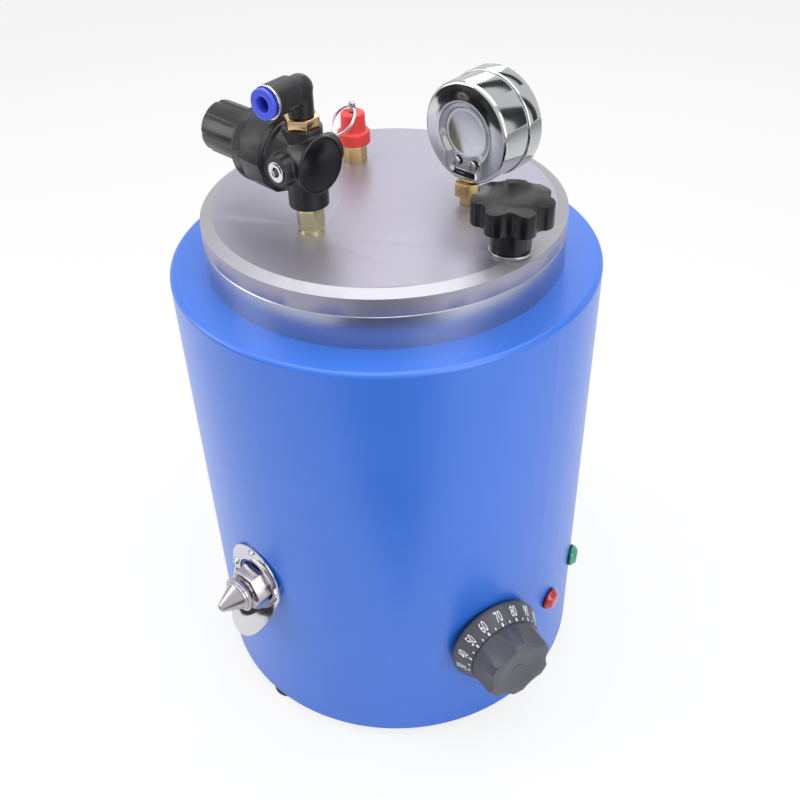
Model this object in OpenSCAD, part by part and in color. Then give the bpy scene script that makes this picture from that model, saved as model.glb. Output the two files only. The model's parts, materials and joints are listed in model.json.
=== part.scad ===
// Bench wax injector for jewellery moulds: a heated wax pot in a round case, with an air regulator,
// a pressure gauge and a safety valve on its lid, and a press-to-open nozzle low on the front.
// The origin is on the floor below the pot's axis, +Z is up and the nozzle points along -Y.

/* [Case] */
// Outside diameter of the case
case_d = 260; // [240:1:300]
// Height of the case without its feet
case_h = 306.5; // [270:0.5:360]
// Thickness of the case's sheet
case_t = 1.5; // [1:0.1:2]
// Rounding of the case's top edge
case_edge_r = 3; // [2:0.5:6]
// Width of the rim turned in under the case
case_foot_rim_w = 24; // [22:0.5:30]
// Thickness of the plate that closes the case below
base_plate_t = 2; // [1.5:0.1:3]

/* [Feet] */
// Height of a rubber foot
foot_h = 9; // [6:0.5:14]
// Diameter of a rubber foot at the floor
foot_d = 22; // [18:0.5:23]
// Distance of a foot's axis from the case's side
foot_inset = 12; // [11.5:0.5:13]
// Shank diameter of a foot's screw
foot_screw_d = 4; // [3:0.5:5]

/* [Wax pot] */
// Outside diameter of the pot's flange and of the lid
flange_d = 214.8; // [205:0.2:225]
// Height of the flange above the case
flange_h = 20.25; // [19:0.25:26]
// Bore of the pot
pot_bore_d = 160; // [140:1:162]
// Thickness of the pot's wall
pot_wall = 6; // [4:0.5:6.5]
// Thickness of the pot's floor
pot_floor_t = 8; // [6:0.5:12]
// Bore of the mouth, where the lid's lugs go in
mouth_d = 170; // [168:0.5:172]
// Depth of the mouth
mouth_depth = 14.75; // [14:0.25:17]
// Thickness of a bayonet lug of the pot
pot_lug_t = 6; // [4:0.5:6.5]
// Width of the gasket's groove
groove_w = 3.6; // [3:0.1:4]
// Depth of the gasket's groove
groove_depth = 3; // [2:0.25:4]

/* [Lid] */
// Height of the lid's straight edge
lid_edge_h = 10.25; // [8:0.25:14]
// Height of the bevel round the lid's top
lid_bevel_h = 2.5; // [1.5:0.25:4]
// Width of the bevel round the lid's top
lid_bevel_w = 6.9; // [4:0.1:9]
// Diameter of the plug under the lid
plug_d = 157; // [154:0.5:158]
// Radius of the circle that the lid's three fittings stand on
port_circle_r = 53.1; // [50:0.1:56]
// Distance of that circle's centre from the lid's axis, away from the star knob
port_shift = 4.6; // [3:0.1:6]

/* [Lid knob] */
// Diameter of the star knob
star_d = 44.6; // [40:0.2:48]
// Height of the star knob's head
star_head_h = 14.8; // [12:0.2:18]
// Diameter of the star knob's hub
star_hub_d = 22; // [18:0.5:24]
// Height of the star knob's hub
star_hub_h = 15.6; // [13:0.2:18]
// Number of lobes of the star knob
star_lobes = 7; // [5:1:9]
// Diameter of the knob's stud
stud_d = 8; // [6:0.5:10]
// Distance of the knob's axis from the lid's edge
star_inset = 13.4; // [12.6:0.2:14]

/* [Nozzle] */
// Height of the nozzle's axis above the case's bottom edge
nozzle_up = 115.5; // [108:0.5:125]
// Diameter of the nozzle's collar
collar_d = 24; // [22:0.5:30]
// Length of the nozzle's cone
cone_l = 13.5; // [10:0.5:20]
// Diameter of the cone's mouth
cone_tip_d = 5.2; // [4:0.2:7]
// Diameter of the wax hole in the tip
wax_hole_d = 2.4; // [1.6:0.2:3.2]
// Width across the flats of the valve body's hexagon
valve_hex_af = 26; // [22:0.5:30]
// Travel of the nozzle when a mould is pressed on it
nozzle_travel = 3; // [2:0.25:3.25]

/* [Nozzle guard] */
// Width of the plate round the nozzle
guard_w = 45; // [40:0.5:60]
// Height of the plate above its widest line
guard_high = 25.5; // [24.5:0.1:34]
// Depth of the plate below its widest line
guard_low = 40.5; // [36:0.5:52]
// Thickness of the plate's sheet
guard_t = 1.2; // [0.8:0.1:1.6]
// Angle by which the drip lip under the nozzle is bent out
lip_angle = 29.5; // [20:0.5:38]

/* [Thermostat] */
// Height of the thermostat's axis above the case's bottom edge
thermostat_up = 80; // [70:1:90]
// Diameter of the numbered skirt
skirt_d = 63; // [58:0.5:70]
// Height of the numbered skirt
skirt_h = 13.2; // [11:0.2:16]
// Diameter of the grip at the skirt
grip_d = 50; // [44:0.5:52]
// Height of the grip
grip_h = 17.6; // [15:0.2:24]
// Number of lobes round the grip
grip_lobes = 6; // [5:1:8]
// Diameter of the thermostat's spindle
spindle_d = 6; // [5:0.5:7]

/* [Lamps] */
// Height of the lamps' axes above the case's bottom edge
lamp_up = 73; // [65:1:90]
// Diameter of a lamp's lens
lens_d = 15.4; // [14:0.2:18]
// Height of a lamp's lens
lens_h = 4.6; // [3:0.2:7]

/* [Regulator] */
// Height of the regulator's main axis above the lid
regulator_up = 41; // [40:0.1:44]
// Diameter of the regulator's knob
reg_knob_d = 29.8; // [28:0.1:33]
// Length of the regulator's knob
reg_knob_l = 36.4; // [33:0.2:40]
// Diameter of the regulator's flange
reg_flange_d = 39.4; // [38.6:0.1:42]
// Diameter of the knurled lock ring
lock_ring_d = 43.2; // [41:0.1:46]
// Outside diameter of the air hose that the push-in fitting takes
hose_d = 8; // [6:1:8]
// Height of the push-in fitting's barrel above the lid
barrel_up = 79.6; // [79:0.1:86]
// Reach of the push-in fitting from its vertical axis
barrel_reach = 27.3; // [26:0.1:32]

/* [Gauge] */
// Diameter of the gauge's case
gauge_d = 57.8; // [54:0.2:60]
// Height of the gauge's centre above the lid
gauge_up = 42.6; // [41:0.1:48]
// Depth of the gauge's case behind its bezel
gauge_case_l = 20.1; // [18:0.1:24]
// Depth of the gauge's bezel
bezel_l = 11.6; // [9:0.1:14]
// Diameter of the gauge's bezel
bezel_d = 60; // [58.5:0.1:64]

/* [Safety valve] */
// Diameter of the red cap's lower collar
valve_collar_d = 20.4; // [18:0.1:22]
// Diameter of the red cap's tower at its foot
valve_tower_d = 15.6; // [15.2:0.1:17]
// Height of the whole red cap
valve_cap_h = 19.4; // [17:0.2:24]
// Outside diameter of the pull ring
ring_d = 20.6; // [20.2:0.1:22]

/* [Hidden] */
$fn = 72;

// Shared allowances
over = 1;            // how far a cutter runs past the face that it cuts
run_fit = 0.06;      // gap on the radius of a turning or sliding fit
seat_gap = 0.2;      // gap between bodies that part
loose_fit = 0.3;     // gap round a piece that is dropped in
thread_fit = 0.08;   // gap on the radius between a thread and its hole

// Levels and radii that the pieces share
case_r = case_d/2;
case_z = foot_h;
case_top = case_z + case_h;
flange_r = flange_d/2;
flange_top = case_top + flange_h;
lid_top = flange_top + lid_edge_h + lid_bevel_h;
pot_bore_r = pot_bore_d/2;
pot_out_r = pot_bore_r + pot_wall;
nozzle_z = case_z + nozzle_up;
nozzle_az = -90;

// Case and base
case_lip_gap = 7;
case_lip_r = pot_out_r + case_lip_gap;
foot_r = case_r - foot_inset;
foot_angles = [-90, 0, 90, 180];
foot_top_inset = 1;
foot_recess_r = foot_screw_d;
foot_recess_h = foot_h/2;
foot_screw_head_h = 2.4;
foot_screw_over = 4;
inlet_z = case_z + 55;
inlet_az = 90;

// Pot
boss_r = 15;
boss_l = 10;
pot_low_gap = 17.5;
pot_bottom = nozzle_z - boss_r - pot_low_gap;
flange_chamfer = 0.8;
mouth_r = mouth_d/2;
lug_count = 3;
lug_angle = 50;
lid_lug_start = 5;
pot_lug_start = 65;
lug_step = 0.5;
pot_lug_top_gap = 0.75;
plug_r = plug_d/2;
lid_lug_side_gap = 0.7;
lid_lug_gap = 0.6;
plug_floor_gap = 0.9;
groove_wall = 2;
groove_r = mouth_r + groove_wall;
flange_screw_count = 6;
flange_screw_d = 5;
flange_screw_inset = 6.3;
flange_screw_r = flange_r - flange_screw_inset;
flange_screw_l = 13;
flange_screw_head_h = 3;
pocket_spare = 2;

// Heater and insulation
band_t = 2.2;
band_h = 70;
band_up = 78;
band_gap_angle = 8;
band_ear_w = 5;
band_ear_t = 2;
band_screw_d = 3;
wool_slit_angle = 24;
wool_t = 7;
wool_up = 56;
wool_top_gap = 10;

// Nozzle, as distances from the pot's axis along the nozzle's axis
hex_front = case_r + 11;
hex_back = case_r - 3;
shank_r = 9;
tip_bore_r = 7;
spring_floor = case_r - 12;
tip_back = case_r;
wax_way_r = 3;
collar_t = 2.7;
collar_back = hex_front + nozzle_travel + seat_gap;
step_r = 10.4;
step_t = 1.1;
cone_r = 9.2;
cone_back = collar_back + collar_t + step_t;
cone_front = cone_back + cone_l;
tip_r = cone_tip_d/2;
sleeve_bore_r = 3.2;
needle_r = 1.5;
needle_head_r = 4.6;
needle_head_t = 3.2;
needle_ring_t = 4;
needle_ring_back = tip_back + 2;
shank_end = pot_bore_r + 2;
nozzle_spring_r = 5;
nozzle_spring_wire = 0.55;
nozzle_spring_turns = 6;

// Guard round the nozzle
guard_up = 5.3;
guard_bend = 6.5;
guard_hole_r = 16;
guard_hole_high = 2;
guard_hole_low = 0.2;
guard_seat = 0.25;
guard_screw_d = 3;
guard_screw_head_d = 4.4;
guard_screw_head_h = 1.6;
guard_screw_l = 5;
guard_screw_inset = 3;
guard_screw_side = 19.75;
case_nozzle_hole_r = guard_hole_r - 1;

// Thermostat, as distances from the pot's axis along the thermostat's axis
thermostat_az = -17.8;
thermostat_z = case_z + thermostat_up;
skirt_gap = 1.8;
skirt_back = case_r + skirt_gap;
skirt_rim_h = 2.4;
skirt_t = 2;
skirt_top_r = grip_d/2 + 0.8;
grip_back = skirt_back + skirt_h + seat_gap;
grip_top_share = 0.9;
grip_front_share = 0.96;
grip_flute_start = 2;
grip_flute_tilt = 15;
grip_dish_depth = 2.2;
grip_dish_r = 16;
grip_round = 1.6;
knob_boss_d = 12;
thermostat_box_w = 36;
thermostat_box_l = 22;
thermostat_box_gap = 2.2;
thermostat_neck_r = 5;
neck_hole_gap = 0.4;
spindle_front = grip_back + 12;
bulb_d = 6;
bulb_l = 42;
bulb_gap = 0.6;
bulb_up = 10;
capillary_d = 1.8;
capillary_drop = 5;

// Lamps
lamp_z = case_z + lamp_up;
red_lamp_az = 6.8;
green_lamp_az = 26.5;
lamp_flange_t = 0.9;
lamp_body_r = 6;
lamp_body_l = 22;
lamp_nut_af = 15;
lamp_nut_t = 3;
lamp_nut_gap = 2.6;
lens_step_h = 1.4;
lens_front_share = 0.62;

// Mains inlet: width along the case, height along Z
inlet_w = 22.5;
inlet_h = 50;
inlet_flange_t = 2.6;
inlet_body_w = 19.4;
inlet_body_h = 27;
inlet_body_l = 20;
inlet_cave_w = 15.5;
inlet_cave_h = 23.5;
inlet_cave_l = 16;
inlet_screw_pitch = 40;
inlet_screw_d = 3.4;
inlet_screw_head_d = 6;
inlet_screw_head_h = 1.8;
inlet_screw_l = 7;
pin_w = 2;
pin_h = 4;
pin_l = 13;
pin_pitch = 7;
pin_shift = 2;

// Lid
lid_r = flange_r;
plug_bottom = flange_top - mouth_depth + plug_floor_gap;
plug_recess_r = plug_r - 9;
plug_recess_h = 18;
lid_lug_t = mouth_depth - pot_lug_top_gap - pot_lug_t - plug_floor_gap - lid_lug_gap;
gasket_side_gap = 0.3;
gasket_top_gap = 0.05;
star_x = lid_r - star_inset;
washer_r = 12.3;
washer_t = 1.5;
star_hub_z = lid_top + washer_t + seat_gap/2;
star_z = star_hub_z + star_hub_h;
star_top = star_z + star_head_h;
star_crown_h = 3;
star_lobe_r = 7;
star_turn = 20.7;
star_valley_r = 5.2;
stud_bottom = flange_top + loose_fit;
stud_top_gap = 6;

// Regulator, as distances along its main axis: plus towards its knob, zero on the port axis
reg_az = -90;
reg_x = port_circle_r*cos(reg_az) - port_shift;
reg_y = port_circle_r*sin(reg_az);
reg_z = lid_top + regulator_up;
port_thread_r = 6.5;
reg_body_r = 15.6;
reg_cap_r = 14.3;
reg_cap_t = 1;
reg_cap_plug_l = 6;
reg_back = 11.1;
reg_rim_h = 0.6;
reg_end = reg_back + reg_cap_t + reg_rim_h;
reg_flare_back = 8.7;
reg_flange_back = 10.6;
reg_flange_t = 1.6;
reg_face = reg_flange_back + reg_flange_t;
diaphragm_t = 1;
reg_low_r = 11.1;
reg_low_l = 25.6;
reg_high_r = 10.5;
reg_high_l = 18.9;
reg_side_r = 9.5;
reg_side_tip_r = 8.6;
reg_side_l = 20.4;
reg_bore_l = 12;
reg_way_r = 3.5;
reg_plug_r = 5.6;
reg_plug_l = 8;
reg_plug_proud = 0.8;
reg_plug_key = 5;
bonnet_bevel = 1.2;
bonnet_r = 22;
bonnet_sides = 12;
bonnet_end = 29;
bonnet_bore_r = 16;
bonnet_neck_r = 13.4;
bonnet_neck_l = 7;
bonnet_cap_t = 3;
lock_ring_back = bonnet_end + seat_gap;
lock_ring_l = 7;
lock_ring_teeth = 96;
lock_tooth_h = 0.35;
reg_knob_back = lock_ring_back + lock_ring_l + seat_gap;
reg_knob_r = reg_knob_d/2;
reg_knob_wall = 1.8;
reg_knob_cave = 6;
reg_knob_flutes = 8;
reg_knob_band = 9;
reg_flute_r = 2.4;
reg_flute_depth = 0.9;
reg_knob_round = 2.4;
reg_screw_r = 3;
reg_screw_back = bonnet_end - bonnet_cap_t - seat_gap;
reg_screw_end = reg_knob_back + reg_knob_l - 5;
spring_seat_r = 11;
spring_seat_t = 2;
reg_spring_r = 8.6;
reg_spring_wire = 1.1;
reg_spring_turns = 3;
poppet_r = 2;
poppet_head_r = 5;
poppet_head_t = 3;
poppet_back = 5;
poppet_cave_r = 7;
poppet_cave_end = 2;
nipple_collar_r = 7.2;
nipple_collar_t = 1.6;
nipple_af = 14;
nipple_bore_r = 3;
hex_turn = 30;
nipple_thread_l = 8;
adapter_af = 17;
adapter_h = 5.4;
adapter_neck_r = 5;
adapter_neck_l = 8;
adapter_thread_l = 9;
elbow_az = -84;
elbow_r = 6.9;
elbow_side_r = 7.3;
elbow_way_r = 3.6;
barrel_r = 8.7;
sleeve_back = 6.4;
sleeve_bevel = 0.8;
barrel_l = barrel_reach - 4.9;
hose_r = hose_d/2 + 0.1;
collet_wall = 2.4;
barrel_bore_r = hose_r + collet_wall + run_fit;
barrel_bore_l = 15;
elbow_ring_t = 1.5;
collet_gap = 1.1;
collet_flange_t = 2.2;
collet_flange_r = 8;
collet_l = 9;
elbow_z = lid_top + barrel_up;
adapter_z = reg_z + reg_high_l;
elbow_low = adapter_z + adapter_h + seat_gap;

// Safety valve, as heights above the lid
valve_az = 150;
valve_x = port_circle_r*cos(valve_az) - port_shift;
valve_y = port_circle_r*sin(valve_az);
valve_base_af = 13.4;
valve_base_turn = -13;
valve_hex_h = 11.7;
valve_thread_r = 5;
valve_seat_h = 5;
valve_way_r = 2;
valve_cave_r = 4.9;
valve_collar_h = 7.9;
valve_tower_top_r = 7.4;
valve_top_t = 2.4;
stem_r = 1.6;
stem_gap = 0.4;
stem_plug_r = 3.2;
stem_plug_h = 2.2;
stem_disc_r = 4.4;
stem_disc_h = 1.2;
stem_disc_up = 14;
stem_head_r = 2.1;
stem_head_h = 5.4;
stem_head_gap = 0.4;
valve_spring_r = 3.6;
valve_spring_wire = 0.5;
valve_spring_turns = 7;
ring_wire_r = 0.5;
ring_turn_gap = 0.9;
ring_hole_r = 1.3;
ring_az = -106.4;
ring_lean = 43.9;

// Gauge, as distances along its own axis: plus towards its glass, zero on the stem
gauge_az = 30;
gauge_x = port_circle_r*cos(gauge_az) - port_shift;
gauge_y = port_circle_r*sin(gauge_az);
gauge_z = lid_top + gauge_up;
gauge_r = gauge_d/2;
gauge_back = -4;
gauge_t = 0.8;
gauge_edge = 2;
gauge_floor_t = 1.7;
gauge_recess = 0.9;
dish_r = 18.2;
dish_low_r = 14;
dish_neck_r = 7;
dish_neck_x = 5.6;
dish_neck_down = 19;
gauge_front = gauge_back + gauge_case_l;
bezel_back = gauge_front + seat_gap;
bezel_t = 1.2;
bezel_lip = 2.6;
gauge_thread_r = 4.1;
gauge_hex_af = 13;
gauge_hex_h = 7.8;
gauge_stem_r = 2.2;
gauge_hole_gap = 0.3;
tube_bend_r = 22.5;
tube_r = 2.1;
gauge_block_w = 11;
gauge_block_l = 6;
gauge_block_h = 12;
gauge_block_at = gauge_back + gauge_floor_t + seat_gap;
plate_w = 8;
plate_t = 1.6;
plate_at = 5.5;
pinion_r = 1.2;
gear_ratio = 12;
mesh_gap = 0.12;
sector_r = pinion_r*gear_ratio;
sector_pivot = sector_r + pinion_r + mesh_gap;
sector_angle = 34;
pointer_sweep = 270;
sector_t = 1.2;
sector_at = 9;
sector_hub_r = 2.4;
sector_pin_r = 1;
arbor_r = 0.8;
dial_t = 0.8;
dial_hole_r = 2;
pointer_t = 0.5;
pointer_l = 21;
pointer_tail = 7;
pointer_w = 2.4;
pointer_hub_r = 2.6;
pointer_zero = 45;
lens_t = 1.8;
lens_back = bezel_back + bezel_l - bezel_t - lens_t;
tube_start = 90 + asin((gauge_block_w/2 + seat_gap)/(tube_bend_r - tube_r));
tube_sweep = 285;
back_screw_x = 5.8;
back_screw_down = 17.5;
back_screw_r = 3;
back_screw_h = 1.4;
back_screw_core_r = 1.3;
slot_w = 0.8;
slot_depth = 0.8;

// Places pieces with their local Z axis level and pointing away from the pot's axis
module facing(az, reach, z) {
    rotate([0, 0, az]) translate([reach, 0, z]) rotate([0, 90, 0]) children();
}

// Repeats a piece at each foot
module at_feet() {
    for (a = foot_angles) rotate([0, 0, a]) translate([foot_r, 0, 0]) children();
}

// Places pieces along the regulator's main axis, local Z towards its knob
module on_regulator() {
    translate([reg_x, reg_y, reg_z]) rotate([0, -90, 0]) children();
}

// Places pieces on the barrel of the push-in fitting, local Z towards its mouth
module on_barrel() {
    translate([reg_x, reg_y, elbow_z]) rotate([0, 0, elbow_az]) rotate([0, 90, 0]) children();
}

// Places pieces on the gauge's axis, local Z towards its glass and local Y downwards
module on_gauge() {
    translate([gauge_x, gauge_y, gauge_z]) rotate([-90, 0, 0]) children();
}

// Hexagonal prism by its width across the flats
module hex_prism(af, h) {
    cylinder(h = h, d = af/cos(30), $fn = 6);
}

// Plain tube
module tube(r_out, r_in, h) {
    difference() {
        cylinder(h = h, r = r_out);
        translate([0, 0, -over]) cylinder(h = h + 2*over, r = r_in);
    }
}

// Part of a ring with a rectangular section
module ring_part(r_in, r_out, z, h, start, sweep) {
    rotate([0, 0, start]) rotate_extrude(angle = sweep, $fn = 96)
        translate([r_in, z]) square([r_out - r_in, h]);
}

// Coil spring along Z from zero to l, as one unbroken tube
module coil(r, wire, l, turns) {
    sides = 6;
    steps = 10*turns;
    rise = l - 2*wire;
    ring = function (i) [for (k = [0:sides - 1])
        let (a = 360*turns*i/steps, b = 360*k/sides, q = r + wire*cos(b))
        [q*cos(a), q*sin(a), wire + rise*i/steps + wire*sin(b)]];
    points = [for (i = [0:steps]) each ring(i)];
    side_faces = [for (i = [0:steps - 1], k = [0:sides - 1])
        let (n = (k + 1)%sides, p = i*sides)
        each [[p + k, p + sides + k, p + sides + n], [p + k, p + sides + n, p + n]]];
    low_cap = [for (k = [1:sides - 2]) [0, k, k + 1]];
    top = steps*sides;
    high_cap = [for (k = [1:sides - 2]) [top, top + k + 1, top + k]];
    polyhedron(points = points, faces = concat(side_faces, low_cap, high_cap));
}

// Outline of a wheel with even teeth, by its middle radius and half its tooth height
function toothed(r, h, n) = [for (i = [0:2*n - 1])
    let (q = r + (i%2 == 0 ? h : -h), a = 180*i/n) [q*cos(a), q*sin(a)]];

// Round steel shell of the case, rolled in over the top and under the bottom
module outer_case() {
    arc = [for (a = [0:15:90]) [case_r - case_edge_r*(1 - cos(a)), case_top - case_edge_r*(1 - sin(a))]];
    inner_r = case_r - case_t;
    color("royalblue") difference() {
        rotate_extrude($fn = 180) polygon(concat(
            [[case_r - case_foot_rim_w, case_z], [case_r, case_z]], arc,
            [[case_lip_r, case_top], [case_lip_r, case_top - case_t], [inner_r - case_edge_r, case_top - case_t],
             [inner_r, case_top - case_t - case_edge_r], [inner_r, case_z + case_t],
             [case_r - case_foot_rim_w, case_z + case_t]]));
        facing(nozzle_az, case_r - case_edge_r*4, nozzle_z) cylinder(h = case_edge_r*8, r = case_nozzle_hole_r);
        facing(nozzle_az, case_r - case_edge_r*4, nozzle_z + guard_up) guard_screw_places()
            cylinder(h = case_edge_r*8, d = guard_screw_d + 2*thread_fit);
        facing(thermostat_az, case_r - case_edge_r*2, thermostat_z)
            cylinder(h = case_edge_r*4, r = thermostat_neck_r + neck_hole_gap);
        for (a = [red_lamp_az, green_lamp_az]) facing(a, case_r - case_edge_r*2, lamp_z)
            cylinder(h = case_edge_r*4, r = lamp_body_r + loose_fit);
        facing(inlet_az, case_r - case_edge_r*2, inlet_z) translate([0, 0, case_edge_r*2])
            cube([inlet_body_h + 2*loose_fit, inlet_body_w + 2*loose_fit, case_edge_r*4], center = true);
        facing(inlet_az, case_r - case_edge_r*2, inlet_z) inlet_screw_places()
            cylinder(h = case_edge_r*4, d = inlet_screw_d + 2*thread_fit);
        at_feet() translate([0, 0, case_z - over]) cylinder(h = case_t + 2*over, d = foot_screw_d + 2*thread_fit);
        flange_screw_places() translate([0, 0, case_top - case_t - over])
            cylinder(h = case_t + 2*over, d = flange_screw_d + 2*thread_fit);
    }
}

// Round plate that lies on the case's turned-in rim
module base_plate() {
    z = case_z + case_t;
    color("silver") difference() {
        translate([0, 0, z]) cylinder(h = base_plate_t, r = case_r - case_t - loose_fit, $fn = 180);
        at_feet() translate([0, 0, z - over])
            cylinder(h = base_plate_t + 2*over, d = foot_screw_d + 2*thread_fit);
    }
}

// Four rubber feet with a recess for the screw's head
module rubber_feet() {
    color("dimgray") at_feet() difference() {
        rotate_extrude() polygon([[0, 0], [foot_d/2 - foot_top_inset, 0], [foot_d/2, foot_top_inset],
            [foot_d/2 - foot_top_inset, foot_h], [0, foot_h]]);
        translate([0, 0, -over]) cylinder(h = foot_recess_h + over, r = foot_recess_r + loose_fit);
        cylinder(h = foot_h + over, d = foot_screw_d + 2*thread_fit);
    }
}

// Four screws that hold the feet and the base plate to the case
module foot_screws() {
    l = foot_h - foot_recess_h + case_t + base_plate_t + foot_screw_over;
    color("silver") at_feet() translate([0, 0, foot_recess_h]) {
        translate([0, 0, -foot_screw_head_h]) cylinder(h = foot_screw_head_h, r = foot_recess_r);
        translate([0, 0, -foot_screw_head_h/2]) cylinder(h = l + foot_screw_head_h/2, d = foot_screw_d);
    }
}

// Repeats a piece at each screw of the pot's flange
module flange_screw_places() {
    for (i = [0:flange_screw_count - 1]) rotate([0, 0, 360*(i + 0.5)/flange_screw_count])
        translate([flange_screw_r, 0, 0]) children();
}

// Cast aluminium pot with its flange, bayonet lugs, gasket groove and nozzle boss
module wax_pot() {
    mouth_z = flange_top - mouth_depth;
    lug_z = flange_top - pot_lug_top_gap - pot_lug_t;
    color("gainsboro") difference() {
        union() {
            rotate_extrude($fn = 180) polygon([[0, pot_bottom], [pot_out_r, pot_bottom], [pot_out_r, case_top],
                [flange_r, case_top], [flange_r, flange_top - flange_chamfer],
                [flange_r - flange_chamfer, flange_top], [mouth_r, flange_top], [mouth_r, mouth_z],
                [pot_bore_r, mouth_z], [pot_bore_r, pot_bottom + pot_floor_t], [0, pot_bottom + pot_floor_t]]);
            for (i = [0:lug_count - 1])
                ring_part(pot_bore_r - lug_step, mouth_r + lug_step, lug_z, pot_lug_t,
                    pot_lug_start + 360*i/lug_count, lug_angle);
            facing(nozzle_az, pot_bore_r + pot_wall/2, nozzle_z)
                cylinder(h = pot_wall/2 + boss_l, r = boss_r);
        }
        translate([0, 0, flange_top - groove_depth]) tube(groove_r + groove_w, groove_r, groove_depth + over);
        facing(nozzle_az, pot_bore_r - pot_wall, nozzle_z)
            cylinder(h = 2*pot_wall + boss_l + over, r = shank_r + thread_fit);
        flange_screw_places() translate([0, 0, case_top - over])
            cylinder(h = flange_screw_l + pocket_spare + over - case_t, d = flange_screw_d + 2*thread_fit);
    }
}

// Six screws that pull the flange down on the case, put in from inside
module flange_screws() {
    color("silver") flange_screw_places() translate([0, 0, case_top - case_t]) {
        translate([0, 0, -flange_screw_head_h]) cylinder(h = flange_screw_head_h, d = 2*flange_screw_d);
        translate([0, 0, -flange_screw_head_h/2])
            cylinder(h = flange_screw_l + flange_screw_head_h/2, d = flange_screw_d);
    }
}

// Steel-clad heater band drawn tight round the pot by a cross screw
module heater_band() {
    r_in = pot_out_r + seat_gap/2;
    r_out = r_in + band_t;
    z = pot_bottom + band_up;
    sweep = 360 - band_gap_angle;
    start = 90 + band_gap_angle/2;
    screw_r = r_out + band_ear_w/2;
    ear_y = screw_r*sin(band_gap_angle/2);
    color("lightsteelblue") {
        ring_part(r_in, r_out, z, band_h, start, sweep);
        rotate([0, 0, 90]) for (s = [-1, 1])
            translate([r_in + band_t/2, s*(ear_y + band_ear_t/2) - band_ear_t/2, z + band_h/4])
                cube([band_ear_w + band_t/2, band_ear_t, band_h/2]);
        rotate([0, 0, 90]) translate([screw_r, 0, z + band_h/2]) rotate([90, 0, 0])
            cylinder(h = 2*ear_y + 4*band_ear_t, d = band_screw_d, center = true);
    }
}

// Ceramic-fibre sleeve round the pot and its heater, open at the heater's screw
module insulation_sleeve() {
    r_in = pot_out_r + seat_gap/2 + band_t + seat_gap;
    z = pot_bottom + wool_up;
    color("ivory") ring_part(r_in, r_in + wool_t, z, case_top - case_t - wool_top_gap - z,
        90 + wool_slit_angle/2, 360 - wool_slit_angle);
}

// Thermostat behind the case, its neck through the hole
module thermostat_body() {
    front = case_r - case_t - thermostat_box_gap;
    color("saddlebrown") facing(thermostat_az, front, thermostat_z) difference() {
        union() {
            translate([0, 0, -thermostat_box_l/2])
                cube([thermostat_box_w, thermostat_box_w, thermostat_box_l], center = true);
            cylinder(h = case_r + skirt_gap/2 - front, r = thermostat_neck_r);
        }
        translate([0, 0, -thermostat_box_l/2]) cylinder(h = 2*thermostat_box_l, d = spindle_d + 2*run_fit);
    }
}

// Liquid-filled bulb beside the pot and the thin tube from it to the thermostat
module thermostat_sensor() {
    r = pot_out_r + bulb_gap + bulb_d/2;
    z = pot_bottom + bulb_up;
    back = case_r - case_t - thermostat_box_gap - thermostat_box_l;
    color("darkgoldenrod") rotate([0, 0, thermostat_az]) {
        translate([r, 0, z]) cylinder(h = bulb_l, d = bulb_d);
        translate([r, 0, z - capillary_drop]) cylinder(h = capillary_drop + over, d = capillary_d);
        translate([r, 0, z - capillary_drop]) sphere(d = capillary_d, $fn = 24);
        translate([r, 0, z - capillary_drop]) rotate([0, 90, 0]) cylinder(h = back - r, d = capillary_d);
    }
}

// Threaded bodies and nuts of the two lamps, behind the case
module lamp_bodies() {
    color("dimgray") for (a = [red_lamp_az, green_lamp_az]) facing(a, case_r, lamp_z) {
        translate([0, 0, seat_gap]) cylinder(h = lamp_flange_t, d = lens_d);
        translate([0, 0, -lamp_body_l]) cylinder(h = lamp_body_l + seat_gap + lamp_flange_t/2, r = lamp_body_r);
        translate([0, 0, -case_t - lamp_nut_gap - lamp_nut_t]) hex_prism(lamp_nut_af, lamp_nut_t);
    }
}

// One lens with a bevelled front
module lamp_lens(az) {
    facing(az, case_r + seat_gap + lamp_flange_t, lamp_z) {
        cylinder(h = lens_step_h, d = lens_d);
        translate([0, 0, lens_step_h])
            cylinder(h = lens_h - lens_step_h, d1 = lens_d, d2 = lens_d*lens_front_share);
    }
}

// Red lamp, lit while the pot heats
module red_lamp_lens() {
    color("crimson") lamp_lens(red_lamp_az);
}

// Green lamp, lit while the mains is on
module green_lamp_lens() {
    color("mediumseagreen") lamp_lens(green_lamp_az);
}

// Repeats a piece at each screw of the mains inlet
module inlet_screw_places() {
    for (s = [-1, 1]) translate([s*inlet_screw_pitch/2, 0, 0]) children();
}

// Moulded mains inlet with its cavity for the plug, long side upright
module power_inlet() {
    color("black") facing(inlet_az, case_r + seat_gap, inlet_z) difference() {
        union() {
            translate([0, 0, inlet_flange_t/2]) cube([inlet_h, inlet_w, inlet_flange_t], center = true);
            translate([0, 0, (inlet_flange_t - inlet_body_l)/2])
                cube([inlet_body_h, inlet_body_w, inlet_body_l + inlet_flange_t], center = true);
        }
        translate([0, 0, inlet_flange_t - inlet_cave_l/2 + over/2])
            cube([inlet_cave_h, inlet_cave_w, inlet_cave_l + over], center = true);
        inlet_screw_places() translate([0, 0, -over])
            cylinder(h = inlet_flange_t + 2*over, d = inlet_screw_d + 2*thread_fit);
    }
}

// Three flat contact pins on the floor of the inlet's cavity
module inlet_pins() {
    floor_z = inlet_flange_t - inlet_cave_l;
    color("gold") facing(inlet_az, case_r + seat_gap, inlet_z)
        for (p = [[-pin_pitch, -pin_shift], [0, pin_shift], [pin_pitch, -pin_shift]])
            translate([p[0], p[1], floor_z + pin_l/2]) cube([pin_w, pin_h, pin_l], center = true);
}

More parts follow.
